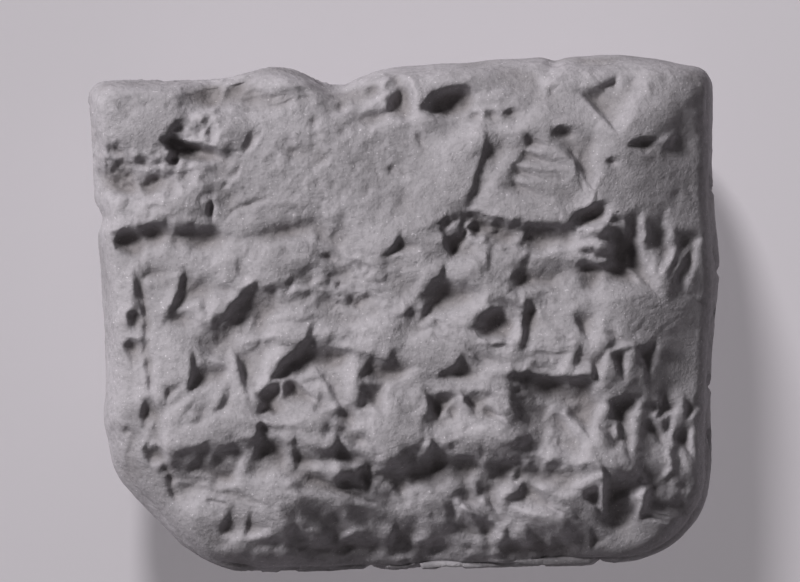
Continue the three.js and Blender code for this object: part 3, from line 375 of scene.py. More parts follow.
# Patches of falling ground: x, y, half length, half width, turn, fall (below 0 it faces the upper left).
SLOPES = [
    (-20.51, 15.52, 0.97, 0.75, -20, 0.62), (-18.64, 15.82, 1.05, 0.6, 0, 0.35), (-21.79, 14.03, 0.67, 0.6, 0, 0.35), (-19.84, 12.22, 2.55, 0.67, 0, 0.55),
    (-18.79, 14.25, 1.65, 0.67, 5, -0.4), (-15.19, 16.27, 1.88, 1.05, 10, 0.85), (-12.26, 17.02, 1.05, 0.38, 45, 0.75), (-10.54, 17.47, 1.2, 0.6, 0, -0.2),
    (-9.11, 17.02, 1.2, 0.45, -20, 0.3), (-15.79, 13.72, 1.88, 1.12, 0, 0.42), (-14.44, 13.42, 0.38, 0.9, 0, 0.95), (-19.24, 11.17, 3.15, 0.9, 0, 0.55),
    (-21.04, 10.2, 1.35, 0.82, -12, 1.05), (-18.11, 9.9, 1.05, 0.67, 15, 0.8), (-14.96, 12.07, 1.88, 0.53, -12, 1.3), (-15.04, 11.1, 1.65, 0.3, -10, -0.35),
    (-17.44, 8.4, 3.45, 0.82, 14, -0.32), (-22.09, 7.57, 1.05, 1.8, 0, -0.15), (-20.51, 7.57, 0.22, 1.2, -5, 0.45), (-14.06, 7.72, 0.26, 0.75, 0, 1.0),
    (-17.74, 5.92, 4.05, 0.9, 2, 0.72), (-20.36, 5.4, 1.27, 0.75, 0, 1.0), (-17.96, 4.65, 1.2, 0.22, 0, -0.3), (-12.94, 8.78, 0.75, 1.35, -30, 0.16),
    (-7.84, 7.27, 1.05, 1.27, 0, 0.28), (-22.84, 3.38, 0.6, 1.95, 0, 0.1), (-9.94, 3.97, 3.15, 1.12, 14, -0.28), (-9.19, 3.97, 0.3, 1.12, -10, 0.4),
    (-11.89, 3.97, 0.3, 1.05, -14, 0.3), (-7.99, 2.17, 1.35, 0.75, 15, 0.95), (-4.39, 1.43, 2.25, 1.05, 0, 0.45), (-5.44, 5.33, 1.8, 0.9, -30, -0.18),
    (-2.96, 3.38, 1.95, 0.6, -12, -0.2), (-16.24, 1.05, 1.88, 0.6, 49, 0.85), (-15.11, 1.43, 1.5, 0.6, 49, -0.3), (-10.99, 1.12, 2.02, 1.2, 20, 0.62),
    (-17.14, 3.38, 1.5, 1.05, 0, -0.12), (-13.39, 2.02, 0.9, 1.35, 0, -0.22), (-0.11, 16.12, 0.75, 1.27, 8, 0.95), (1.31, 16.2, 0.53, 0.9, 25, -0.4),
    (3.49, 15.9, 1.57, 0.82, 14, 1.0), (2.66, 14.85, 1.95, 0.3, 8, -0.35), (-2.44, 15.22, 1.27, 0.38, 8, 0.4), (-2.06, 14.55, 1.35, 0.45, 8, -0.32),
    (-2.36, 16.65, 0.6, 0.45, 0, 0.75), (-4.46, 16.72, 1.05, 0.9, 0, 0.2), (7.01, 15.0, 1.88, 0.45, 4, 0.45), (7.16, 15.52, 1.8, 0.22, 4, -0.2),
    (10.99, 16.72, 0.3, 0.45, 0, 0.9), (14.74, 16.8, 1.65, 0.38, 14, 0.75), (4.01, 17.85, 0.6, 0.22, 0, 0.6), (15.94, 15.67, 1.12, 2.25, -6, -0.38),
    (19.31, 15.22, 1.35, 2.55, 0, 0.24), (11.96, 13.35, 0.75, 0.53, 0, 0.8), (13.91, 10.72, 0.67, 2.02, -20, -0.38), (13.01, 10.72, 0.38, 2.02, -18, 0.55),
    (17.96, 12.6, 0.9, 0.45, 10, 0.7), (15.56, 11.17, 0.3, 0.3, 0, 0.8), (5.66, 12.22, 0.97, 0.53, 30, 0.9), (6.41, 10.28, 2.77, 0.6, 63, -0.34),
    (5.44, 9.67, 2.25, 0.45, 63, 0.55), (8.66, 12.9, 0.67, 0.67, 0, 0.9), (8.06, 11.55, 0.6, 0.45, 0, 0.8), (7.69, 10.28, 0.6, 0.53, 0, 0.8),
    (10.31, 12.53, 1.65, 0.38, -12, -0.34), (10.16, 11.32, 1.8, 0.38, -14, -0.34), (9.79, 10.12, 1.65, 0.38, -16, -0.34), (10.16, 11.92, 1.65, 0.2, -13, 0.45),
    (10.01, 10.72, 1.65, 0.2, -15, 0.45), (9.41, 9.3, 1.8, 0.38, -18, 0.42), (9.04, 6.08, 3.6, 1.05, 3, 0.68), (10.69, 5.77, 1.65, 0.9, 0, 1.0),
    (13.91, 7.42, 1.12, 0.38, 22, 0.8), (5.51, 6.67, 1.65, 0.45, 10, 0.4), (14.21, 6.38, 1.5, 0.38, 0, -0.32), (14.21, 5.77, 1.5, 0.22, 0, 0.55),
    (14.21, 5.17, 1.5, 0.38, 0, -0.32), (14.21, 4.58, 1.5, 0.22, 0, 0.55), (14.21, 3.97, 1.43, 0.38, -3, -0.32), (14.21, 3.3, 1.12, 0.38, -8, 0.7),
    (16.09, 4.72, 0.75, 1.88, 5, 0.85), (18.19, 3.75, 3.23, 0.67, -69, -0.42), (19.16, 5.17, 1.2, 0.9, -60, 0.75), (20.21, 4.27, 1.95, 0.53, -62, -0.36),
    (21.19, 3.67, 1.95, 0.53, -62, 0.6), (14.66, 2.7, 2.7, 0.38, -14, 0.55), (15.56, 2.02, 3.9, 0.45, -16, -0.36), (18.41, -0.07, 3.75, 1.5, 0, 0.13),
    (5.06, 3.6, 3.3, 0.67, 0, -0.38), (3.19, 1.72, 1.35, 0.9, 0, 0.85), (10.16, 4.12, 1.95, 1.5, 0, 0.62), (5.66, 1.88, 1.05, 0.75, 0, 0.2),
    (-0.49, 4.88, 1.57, 0.67, 35, 0.95), (3.79, 5.25, 0.97, 0.75, 15, 0.85), (2.51, 6.67, 1.27, 0.3, 28, 0.75), (0.04, 3.82, 1.65, 0.45, 32, -0.3),
    (0.86, -0.22, 1.05, 0.97, 0, 0.85), (4.16, -0.15, 2.1, 0.3, -24, -0.33), (4.01, -0.75, 2.1, 0.22, -24, 0.45), (3.86, -1.35, 2.1, 0.3, -24, -0.33),
    (3.41, -2.02, 1.95, 0.22, -24, 0.45), (6.71, -0.67, 1.27, 1.05, 0, 1.05), (6.86, -2.02, 1.43, 0.3, 2, -0.38), (8.44, -1.27, 0.38, 1.12, -10, -0.42),
    (9.49, -0.38, 0.6, 1.2, 0, 0.85), (11.36, -1.2, 1.57, 0.3, -2, -0.33), (11.36, -1.72, 1.57, 0.2, -2, 0.5), (11.36, -2.17, 1.57, 0.3, -2, -0.33),
    (11.36, -2.62, 1.57, 0.2, -2, 0.5), (11.36, -3.15, 1.57, 0.3, -2, -0.33), (11.36, -3.6, 1.57, 0.22, 0, 0.45), (13.69, -1.72, 0.6, 1.95, 0, -0.38),
    (12.79, -0.38, 0.38, 1.2, 0, 0.35), (16.24, -2.1, 1.65, 0.45, 2, 0.9), (16.46, -4.2, 0.45, 1.35, 0, -0.38), (18.04, -3.97, 0.45, 1.72, 0, -0.38),
    (14.66, -4.42, 0.45, 1.05, 0, -0.34), (15.49, -4.27, 0.38, 1.27, 0, 0.65), (17.21, -4.12, 0.3, 1.35, 0, 0.65), (19.24, -4.27, 0.53, 1.65, 0, 0.55),
    (3.79, -2.62, 2.25, 0.3, -31, -0.42), (3.26, -3.23, 2.02, 0.38, -28, 0.55), (4.24, -4.35, 1.35, 0.6, 15, 0.85), (1.91, -4.27, 0.75, 1.05, 0, 0.3),
    (10.54, -4.2, 2.85, 0.53, -2, -0.42), (10.69, -6.08, 3.0, 1.27, 0, 0.8), (-2.21, -1.72, 0.9, 2.7, -36, -0.2), (-0.94, -2.77, 0.6, 2.25, -40, 0.3),
    (-19.99, -0.38, 0.53, 0.75, 0, 0.75), (-19.91, -2.48, 0.6, 0.6, 0, 0.75), (-13.31, -0.82, 2.02, 0.97, 22, 0.8), (-8.14, -1.43, 4.05, 0.38, 3, -0.34),
    (-8.14, -0.75, 3.6, 0.3, 4, 0.4), (-9.34, -2.02, 3.0, 0.22, 3, 0.4), (-14.59, -4.58, 1.27, 1.12, 30, 0.9), (-13.01, -6.08, 1.5, 1.27, 0, -0.28),
    (-17.29, -5.77, 0.67, 0.97, 0, 0.85), (-11.44, -4.72, 0.67, 2.92, -2, -0.45), (-12.26, -4.27, 0.3, 1.95, -4, 0.45), (-7.16, -3.45, 2.32, 1.35, 18, 1.0),
    (-9.64, -6.22, 1.05, 1.05, 0, 0.95), (-7.09, -6.52, 2.02, 0.9, -18, -0.36), (-6.94, -5.77, 1.8, 0.22, -20, 0.35), (-10.09, -7.8, 4.65, 0.38, -3, -0.34),
    (-4.69, -6.08, 0.82, 2.48, -5, -0.42), (-5.59, -6.67, 0.3, 1.8, -6, 0.45), (-2.06, -4.2, 1.72, 0.67, 5, 0.85), (-3.11, -6.08, 0.45, 1.8, 0, 0.45),
    (-1.61, -6.67, 0.67, 1.65, -8, -0.36), (-16.69, -7.2, 1.65, 0.6, 18, -0.36), (-15.94, -7.88, 1.35, 0.53, 28, 0.8), (-15.34, -8.7, 2.02, 0.53, 8, -0.34),
    (0.79, -6.52, 0.6, 1.88, -12, -0.22), (-0.34, -7.88, 0.6, 1.65, 0, 0.35), (2.74, -6.83, 0.97, 1.05, 0, 0.95), (5.36, -6.75, 1.05, 0.82, 0, 0.95),
    (3.86, -7.42, 0.38, 1.05, -5, -0.42), (6.86, -8.4, 2.55, 0.67, -18, -0.34), (7.16, -9.75, 2.4, 0.6, -18, 0.5), (9.49, -7.72, 0.9, 1.95, 20, 0.55),
    (13.76, -8.17, 0.67, 1.95, -12, -0.42), (11.96, -8.78, 0.67, 1.05, 0, -0.25), (12.56, -6.83, 0.6, 0.9, 0, 0.6), (15.56, -8.7, 0.67, 0.67, 0, 0.9),
    (15.41, -6.97, 0.6, 0.67, 0, 0.6), (16.76, -8.92, 0.6, 2.85, -3, -0.42), (17.74, -8.62, 0.38, 2.4, 0, 0.45), (19.46, -9.67, 0.45, 3.3, 5, -0.38),
    (21.26, -9.82, 0.53, 1.72, -20, -0.32), (20.44, -8.78, 0.38, 1.65, -15, 0.55), (21.41, -7.12, 0.22, 0.9, 30, 0.5), (18.41, -7.12, 0.6, 0.9, 0, 0.5),
    (-14.96, -10.95, 2.62, 1.5, 6, 0.92), (-10.46, -10.42, 1.65, 1.27, 12, 0.88), (-7.39, -10.88, 1.35, 1.27, 0, 0.85), (-6.26, -11.32, 0.38, 1.35, 0, -0.3),
    (-4.76, -10.2, 1.12, 0.6, 0, 0.8), (-4.69, -11.4, 1.2, 0.45, 15, -0.42), (-4.39, -12.67, 1.35, 0.82, 0, 0.85), (-2.74, -12.6, 0.45, 1.27, 0, -0.33),
    (-0.11, -10.42, 1.65, 2.02, 0, 0.68), (-1.24, -12.38, 0.97, 1.05, 0, 0.68), (-13.39, -13.57, 4.2, 0.82, -8, -0.38), (-13.61, -14.1, 0.97, 0.15, -14, 0.6),
    (-4.99, -13.12, 3.75, 0.34, -17, -0.4), (-4.46, -14.77, 3.9, 0.75, -10, 0.42), (-9.34, -12.22, 0.9, 0.6, -20, 0.3), (2.89, -11.25, 1.72, 1.57, 0, 0.88),
    (6.71, -11.47, 1.12, 0.53, 0, 0.9), (9.04, -12.07, 0.97, 0.82, 0, 0.9), (7.01, -13.72, 0.38, 2.1, -8, -0.38), (4.16, -14.1, 1.8, 0.9, -35, -0.2),
    (6.11, -14.25, 0.45, 1.65, -10, 0.4), (0.79, -13.88, 1.5, 1.2, 0, 0.3), (8.89, -13.5, 0.82, 0.3, 0, 0.9), (11.36, -14.7, 2.7, 0.38, -26, -0.36),
    (11.81, -13.88, 2.7, 0.3, -26, 0.5), (10.76, -15.82, 2.7, 0.45, -20, 0.5), (12.56, -11.92, 2.55, 0.67, 2, 0.7), (15.86, -13.5, 1.27, 2.02, 0, 0.95),
    (13.91, -14.25, 0.45, 1.5, -10, -0.25), (18.79, -13.28, 1.27, 0.27, -18, -0.42), (18.79, -13.72, 1.2, 0.18, -18, 0.35), (18.79, -14.25, 1.27, 0.27, -18, -0.42),
    (18.79, -14.7, 1.2, 0.18, -18, 0.35), (18.64, -15.22, 1.27, 0.27, -18, -0.42), (18.49, -15.67, 1.12, 0.18, -18, 0.35), (20.96, -13.88, 0.75, 2.25, -12, 0.15),
    (5.51, -15.52, 2.4, 0.53, -30, 0.45), (7.54, -16.12, 1.5, 0.38, -20, -0.2), (-12.26, -17.47, 0.9, 0.53, 0, 0.7), (-10.09, -16.12, 1.5, 0.45, -20, -0.15),
    (-7.09, -16.88, 1.12, 0.6, 0, 0.8), (-4.09, -16.57, 0.97, 0.6, -30, 0.65), (-2.44, -15.67, 1.2, 0.38, -20, -0.25), (-0.64, -16.95, 0.97, 0.6, -30, 0.7),
    (1.76, -17.25, 0.82, 0.6, 0, 0.7), (8.29, -17.1, 1.43, 0.53, 5, 0.8), (11.36, -17.1, 0.97, 0.53, 0, 0.8), (14.66, -16.88, 1.05, 0.53, 0, 0.4),
    (-14.21, -15.97, 1.5, 0.67, -20, 0.2), (-19.09, -7.27, 0.45, 1.05, 4, 0.75), (-18.49, -10.42, 0.67, 0.67, 0, 0.95), (-20.59, -8.7, 0.3, 0.3, 0, 0.7),
    (-21.56, -8.62, 0.3, 0.6, 0, 0.6), (-19.69, 1.72, 0.38, 1.05, 3, 0.6),
]
LIGHT2 = np.array([-0.82, 0.57])   # side that pressings lean to

def near(x, y, cx, cy, r):
    return np.flatnonzero((np.abs(x - cx) < r) & (np.abs(y - cy) < r))

def softmax0(e, k):
    """Like max(e, 0), rounded over k."""
    return np.where(e > 6 * k, e, k * np.log1p(np.exp(np.clip(e / k, -30, 30))))

def pressing(D, x, y, hx, hy, tx, ty, w, d, skew, back, soft=0.07):
    """One mark of the stylus: a three-sided hollow, deepest near its head, with rounded edges."""
    h = np.array([hx, hy]); t = np.array([tx, ty]); L = np.linalg.norm(t - h)
    u = (t - h) / L; v = np.array([-u[1], u[0]])
    if v @ LIGHT2 < 0: v = -v
    i = near(x, y, (hx + tx) / 2, (hy + ty) / 2, (L + w) * 0.75 + 0.6)
    if not len(i): return
    a = (x[i] - hx) * u[0] + (y[i] - hy) * u[1]; b = (x[i] - hx) * v[0] + (y[i] - hy) * v[1]
    ax = min(w * HEAD, 0.42 * L)
    apex = np.array([ax, skew * w / 2 * (1 - ax / L)])
    poly = [(-back * w, w / 2), (-back * w * 0.3 - 0.12 * w, -w / 2), (L, 0.0)]
    e = None
    for k in range(3):
        p, q = np.array(poly[k]), np.array(poly[(k + 1) % 3])
        n = np.array([-(q - p)[1], (q - p)[0]]); n /= np.linalg.norm(n)
        if (apex - p) @ n < 0: n = -n
        f = ((a - p[0]) * n[0] + (b - p[1]) * n[1]) / ((apex - p) @ n)
        e = f if e is None else soft_min(e, f, 0.10)
    D[i] = np.maximum(D[i], softmax0(d * e, soft) - soft * 0.7)

def furrow(D, x, y, pts, w, d, lean, soft=0.12):
    """A long trough along a row: one wall steeper than the other, running out at both ends."""
    P = np.array(pts)
    lo, hi = P.min(0) - w, P.max(0) + w
    i = np.flatnonzero((x > lo[0]) & (x < hi[0]) & (y > lo[1]) & (y < hi[1]))
    best = np.full(len(i), 99.0); q = np.zeros(len(i)); along = np.zeros(len(i)); run = 0.0
    for k in range(len(P) - 1):
        g = P[k + 1] - P[k]; L = np.linalg.norm(g)
        X, Y = x[i] - P[k][0], y[i] - P[k][1]
        t = np.clip((X * g[0] + Y * g[1]) / L ** 2, 0, 1)
        r = np.hypot(X - t * g[0], Y - t * g[1])
        m = r < best
        best = np.where(m, r, best)
        q = np.where(m, (g[0] * Y - g[1] * X) / L, q)
        along = np.where(m, run + t * L, along)
        run += L
    q = np.where(np.abs(q) < best, np.sign(q + 1e-9) * best, q)
    v0 = lean * w / 2
    f = soft_min((w / 2 - q) / (w / 2 - v0), (q + w / 2) / (w / 2 + v0), 0.25)
    ends = smooth(-0.02, 0.22, along / run) * smooth(1.02, 0.78, along / run)
    D[i] = np.maximum(D[i], softmax0(d[i] * f * ends, soft) - soft * 0.7)

def soft_min(a, b, k):
    h = np.clip(0.5 + 0.5 * (b - a) / k, 0, 1)
    return b + (a - b) * h - k * h * (1 - h)

PRESS_WIDTH, PRESS_DEPTH, PRESS_SOFT, PRESS_LEAN = 1.75, 1.0, 0.08, 0.85
HEAD = 0.42        # how far behind the head the deepest point lies, in widths
FILL_SEED, FILL_GAIN = 4, 0.85
# rows of shallow strokes between the surveyed ones: y, from x, to x
FILL_ROWS = [(4.0, -18, 16), (0.6, -18, 18), (-2.6, -18, 19), (-5.8, -18, 19), (-9.0, -17.5, 19), (-12.0, -17, 18.5), (-15.0, -15, 17)]
CUT_SHARE, BROAD_SHARE, SLOPE_SHARE = 0.92, 0.85, 0.85
HOLD = 4.5         # mm over which the surface comes back to its level
LUMP_GAIN, HOLLOW_GAIN, CREST_GAIN, CREST_WIDTH = 1.7, 1.35, 1.8, 1.7

def face_layers(p):
    """The parts of the relief at points of the face, in mm below the unworn face."""
    x0, y0 = p[:, 0], p[:, 1]
    wx = 0.24 * noise(p, 2.1, 0) + 0.12 * noise(p, 0.9, 1) + 0.04 * noise(p, 0.4, 4)
    wy = 0.24 * noise(p, 2.1, 2) + 0.12 * noise(p, 0.9, 3) + 0.04 * noise(p, 0.4, 5)
    x, y = x0 + wx, y0 + wy
    n_r = noise(p, 1.1, 4); n_r2 = noise(p, 0.55, 5)
    broad = np.zeros(len(p)); cut = np.zeros(len(p))
    for cx, cy, a, b, turn, d, rag in HOLLOWS:
        a, b = a * 1.2, b * 1.2
        i = near(x, y, cx, cy, max(a, b) * 1.5 + .2)
        c, s = math.cos(math.radians(turn)), math.sin(math.radians(turn))
        u = ((x[i] - cx) * c + (y[i] - cy) * s) / a; v = (-(x[i] - cx) * s + (y[i] - cy) * c) / b
        r = np.sqrt(u * u + v * v) * (1 + (0.1 + rag) * (0.75 * n_r[i] + 0.45 * n_r2[i]))
        k = d * np.exp(-1.5 * r ** 2.3) * smooth(1.7, 1.1, r)
        if d > 0:
            # the wall nearer the upper left is the steeper one
            k = k * np.clip(1 + 0.55 * ((x[i] - cx) * LIGHT2[0] / a + (y[i] - cy) * LIGHT2[1] / b), 0.3, 2)
        if d < 0:
            broad[i] += LUMP_GAIN * k
        elif a * b > 9:
            broad[i] += k
        else:
            cut[i] = np.maximum(cut[i], HOLLOW_GAIN * k) + 0.3 * np.minimum(cut[i], k)
    for hx, hy, tx, ty, w, d, skew, back in PRESSINGS:
        pressing(cut, x, y, hx, hy, tx, ty, w * PRESS_WIDTH, d * PRESS_DEPTH, skew * PRESS_LEAN, back, PRESS_SOFT)
    fill = np.zeros(len(p))
    rng = np.random.RandomState(FILL_SEED)
    for y_row, x_from, x_to in FILL_ROWS:
        at = x_from
        while at < x_to:
            hx, hy = at + rng.uniform(-0.4, 0.4), y_row + rng.uniform(-0.7, 0.7)
            kind = rng.choice(4, p=[0.34, 0.3, 0.2, 0.16])
            way, long, wide, deep = ((-84, 4.8, 3.2, 0.7), (-14, 5.6, 2.8, 0.6), (-40, 4.8, 2.8, 0.55), (-140, 3.4, 3.4, 0.7))[kind]
            way = math.radians(way + rng.uniform(-9, 9))
            k = rng.uniform(0.75, 1.25)
            pressing(fill, x, y, hx, hy, hx + long * k * math.cos(way), hy + long * k * math.sin(way), wide * k, deep * k, 0.15, 0.12, 0.14)
            at += rng.uniform(2.4, 4.2)
    trough = np.zeros(len(p))
    for pts, w, d, lean in FURROWS:
        furrow(trough, x, y, pts, w, d * (0.8 + 0.4 * n_r), lean)
    line = np.zeros(len(p))
    for pts, w, d in SCORES:
        P = np.array(pts)
        lo, hi = P.min(0) - 1, P.max(0) + 1
        i = np.flatnonzero((x > lo[0]) & (x < hi[0]) & (y > lo[1]) & (y < hi[1]))
        best = np.full(len(i), 9.0); along = np.zeros(len(i)); run = 0; total = np.linalg.norm(np.diff(P, axis=0), axis=1).sum()
        for k in range(len(P) - 1):
            q = P[k + 1] - P[k]; L = np.linalg.norm(q)
            t = np.clip(((x[i] - P[k][0]) * q[0] + (y[i] - P[k][1]) * q[1]) / L ** 2, 0, 1)
            dd = np.hypot(x[i] - P[k][0] - t * q[0], y[i] - P[k][1] - t * q[1])
            m = dd < best
            best = np.where(m, dd, best); along = np.where(m, run + t * L, along); run += L
        taper = smooth(-0.05, 0.25, along / total) * smooth(1.05, 0.75, along / total)
        amp = 0.75 + 0.5 * n_r[i]
        if d < 0:
            broad[i] += CREST_GAIN * d * amp * taper * np.exp(-(best / (CREST_WIDTH * w * 0.62)) ** 2)
        else:
            line[i] += d * amp * taper * np.exp(-(best / (w * 0.62)) ** 2)
    rough = np.zeros(len(p))
    for cx, cy, a, b, turn, amp, size in CRUMBS:
        a, b = a * 1.15, b * 1.15
        i = near(x, y, cx, cy, max(a, b) * 1.1)
        c, s = math.cos(math.radians(turn)), math.sin(math.radians(turn))
        u = ((x[i] - cx) * c + (y[i] - cy) * s) / a; v = (-(x[i] - cx) * s + (y[i] - cy) * c) / b
        m = smooth(1.05, 0.45, np.hypot(u, v) + 0.25 * n_r[i])
        q = p[i]
        g = fbm(q, size, 3, 0.6, 1)
        rough[i] += amp * m * (np.abs(g) * 1.7 - 0.55)
    stria = np.zeros(len(p))
    for cx, cy, a, b, turn, pitch, amp, bend in DRAGS:
        i = near(x, y, cx, cy, max(a, b) * 1.1)
        c, s = math.cos(math.radians(turn)), math.sin(math.radians(turn))
        X, Y = x[i] - cx, y[i] - cy
        m = smooth(1.0, 0.55, np.hypot(X / a, Y / b))
        q = -X * s + Y * c + (0.35 * n_r[i] + 4 * bend * (X * c + Y * s) ** 2)
        stria[i] += amp * m * np.sin(2 * math.pi * q / pitch + 1.5 * n_r2[i]) * (0.7 + 0.6 * n_r[i])
    sound = np.zeros(len(p))
    for cx, cy, a, b in SOUND:
        sound = np.maximum(sound, smooth(1.15, 0.7, np.hypot((x - cx) / a, (y - cy) / b) + 0.12 * n_r))
    worn = 1 - 0.75 * sound
    lumps = worn * (1.15 * noise(p, 4.6, 2) + 0.30 * noise(p, 2.4, 5) + 0.07 * noise(p, 1.1, 4))
    crag = 0.13 * (0.42 - np.abs(noise(p, 1.7, 6))) + 0.085 * (0.42 - np.abs(noise(p, 0.85, 7))) + 0.035 * noise(p, 0.42, 3)
    grain = (0.25 + 0.75 * worn) * crag
    cut = np.maximum(cut, trough) + 0.35 * np.minimum(cut, trough)
    cut = np.maximum(cut, FILL_GAIN * fill * (0.35 + 0.65 * worn)) + 0.3 * np.minimum(cut, FILL_GAIN * fill)
    return broad + lumps, cut, line + rough + stria + grain

def slopes_relief(x, y, step):
    """Height of a surface whose falls are those of the SLOPES table, as nearly as one surface can have them all."""
    p = np.stack([x.ravel(), y.ravel(), 0 * x.ravel() + 8], 1)
    wx = (0.20 * noise(p, 2.0, 0) + 0.11 * noise(p, 0.8, 1) + 0.05 * noise(p, 0.4, 4)).reshape(x.shape)
    wy = (0.20 * noise(p, 2.0, 2) + 0.11 * noise(p, 0.8, 3) + 0.05 * noise(p, 0.4, 5)).reshape(x.shape)
    uneven = (0.18 * noise(p, 1.1, 6)).reshape(x.shape)
    X, Y = x + wx, y + wy
    tx = np.zeros(x.shape); ty = np.zeros(x.shape); much = np.zeros(x.shape)
    for row in SLOPES:
        cx, cy, a, b, turn, fall = row[:6]
        way = math.radians(row[6] if len(row) > 6 else turn_to_light(turn, fall))
        a, b = a + 0.06, b + 0.06
        r = max(a, b) * 1.5 + 0.4
        i0, i1 = np.searchsorted(y[:, 0], [cy - r, cy + r]); j0, j1 = np.searchsorted(x[0], [cx - r, cx + r])
        k = np.s_[i0:i1, j0:j1]
        c, s = math.cos(math.radians(turn)), math.sin(math.radians(turn))
        u = np.abs((X[k] - cx) * c + (Y[k] - cy) * s) / a; v = np.abs(-(X[k] - cx) * s + (Y[k] - cy) * c) / b
        rr = (u ** 2.4 + v ** 2.4) ** (1 / 2.4) + uneven[k]
        soft = min(0.45, 0.22 / min(a, b))
        m = smooth(1 + soft, 1 - soft, rr)
        tx[k] += m * (abs(fall) * math.cos(way) - tx[k]); ty[k] += m * (abs(fall) * math.sin(way) - ty[k])
        much[k] = np.maximum(much[k], m)
    # heights that fall by (tx, ty), held near zero over long distances
    ky = 2 * math.pi * np.fft.fftfreq(x.shape[0], step)[:, None]
    kx = 2 * math.pi * np.fft.rfftfreq(x.shape[1], step)[None]
    k2 = kx ** 2 + ky ** 2 + 1 / HOLD ** 2
    gx, gy = -tx, -ty
    h = 0.0
    for n in range(4):
        H = (-1j * kx * np.fft.rfft2(gx) - 1j * ky * np.fft.rfft2(gy)) / k2
        hx, hy = np.fft.irfft2(1j * kx * H, x.shape), np.fft.irfft2(1j * ky * H, x.shape)
        if n < 3:
            gx = gx + much * (-tx - hx); gy = gy + much * (-ty - hy)
    return np.fft.irfft2(H, x.shape)

def turn_to_light(turn, fall):
    """Bearing of a fall: across the long side of its patch, as far as it agrees with the light."""
    base = -35.0 if fall > 0 else 145.0
    d = (turn + 90 - base + 90) % 180 - 90
    return base + max(-38.0, min(38.0, 0.6 * d))

def compose(broad, cut, fine, h, step):
    """Puts the layers together: edges rounded by wear, clay pushed up beside each hollow."""
    cut = CUT_SHARE * cut
    soft = 0.2 * cut + 0.8 * blur(cut, 0.17 / step)
    outside = 1 - smooth(0.0, 0.5, soft)
    pushed = outside * (0.45 * np.minimum(blur(cut, 0.35 / step), 0.6) + 0.5 * np.minimum(blur(cut, 0.9 / step), 0.8))
    d = BROAD_SHARE * broad + soft - pushed + 0.5 * fine + 0.5 * blur(fine, 0.08 / step) - SLOPE_SHARE * blur(h, 0.07 / step)
    # nothing stands more than a little above the unworn face
    d = d + 0.34
    d = np.where(d < 0, -0.5 * np.tanh(-d / 0.5), d)
    shut = blur(d, 0.12 / step) - blur(d, 1.0 / step)
    return d, shut

# x of each stroke on the lower edge, y of each on the right edge, and its kind
LOWER_EDGE = [(-11.5, 'K'), (-8.6, 'V'), (-6.4, 'H'), (-2.2, 'V'), (0.4, 'K'), (3.4, 'V'), (5.6, 'H'), (9.6, 'K'), (12.3, 'V'), (15.2, 'V')]
RIGHT_EDGE = [(9.6, 'H'), (3.4, 'H'), (0.6, 'K'), (-5.2, 'H'), (-8.8, 'V')]
BACK_LINES = [13.2, 8.0, 2.8, -2.4, -7.6, -12.4]
# chips out of the edges: centre, half sizes, depth, raggedness
CHIPS = [
    ((-17.0, 17.6, 6.5), (3.4, 2.0, 2.6), 0.9, 0.3), ((-4.6, 18.2, 10.0), (2.4, 2.0, 3.0), 0.8, 0.3), ((-23.2, 7.2, 9.0), (1.6, 1.2, 3.0), 0.5, 0.2),
    ((-22.6, -3.0, 4.5), (1.6, 2.4, 2.0), 0.6, 0.4), ((22.8, 14.0, 5.0), (1.8, 2.2, 2.0), 0.5, 0.4), ((8.0, 19.0, 4.0), (3.0, 1.6, 2.0), 0.5, 0.4),
    ((-16.0, -16.5, 4.0), (3.0, 2.4, 2.4), 0.6, 0.4), ((20.0, -15.6, 3.6), (2.4, 2.4, 2.0), 0.45, 0.4), ((-6.0, 14.0, 0.3), (4.0, 2.6, 1.6), 0.45, 0.5),
    ((13.0, -15.0, 0.8), (3.6, 2.6, 1.6), 0.5, 0.5), ((-18.0, 2.0, 0.8), (2.4, 3.4, 1.6), 0.5, 0.5),
]
# ------------------------------------------------------------------ edges and back
def press_at(d, p, c, n, along, length, width, depth, skew=0.4, soft=0.05):
    """One pressing made square on to the surface at c."""
    n = np.array(n, float); n /= np.linalg.norm(n)
    u = np.array(along, float); u -= n * (u @ n); u /= np.linalg.norm(u)
    v = np.cross(n, u)
    q = p - c
    i = np.flatnonzero((np.abs(q) < length + 0.5).all(1))
    if not len(i): return
    q = q[i]
    a, b, h = q @ u, q @ v, q @ n
    poly = [(-0.12 * width, width / 2), (-0.16 * width, -width / 2), (length, 0.0)]
    apex = np.array([width * 0.16, skew * width / 2])
    e = None
    for k in range(3):
        s, t = np.array(poly[k]), np.array(poly[(k + 1) % 3])
        m = np.array([-(t - s)[1], (t - s)[0]]); m /= np.linalg.norm(m)
        if (apex - s) @ m < 0: m = -m
        f = ((a - s[0]) * m[0] + (b - s[1]) * m[1]) / ((apex - s) @ m)
        e = f if e is None else np.minimum(e, f)
    keep = smooth(2.4, 1.2, np.abs(h))
    d[i] = np.maximum(d[i], keep * (softmax0(depth * e, soft) - soft * 0.7))
    rim = 0.03 * min(depth, 1.2) * np.exp(-(np.clip(-e, 0, 1) * width / 0.3) ** 2) * (e < 0)
    d[i] -= rim * keep

def edge_point(x=None, y=None, side='bottom', z=8.0):
    """A point of the rim at a given x or y, with its outward direction."""
    if side in ('bottom', 'top'):
        a = math.atan2((-1 if side == 'bottom' else 1) * 19.0, x)
    else:
        a = math.atan2(y, (1 if side == 'right' else -1) * 23.2)
    r = float(rim_at(a))
    n = {'bottom': (0, -1, 0), 'top': (0, 1, 0), 'right': (1, 0, 0), 'left': (-1, 0, 0)}[side]
    return np.array([r * math.cos(a), r * math.sin(a), z]), np.array(n, float)

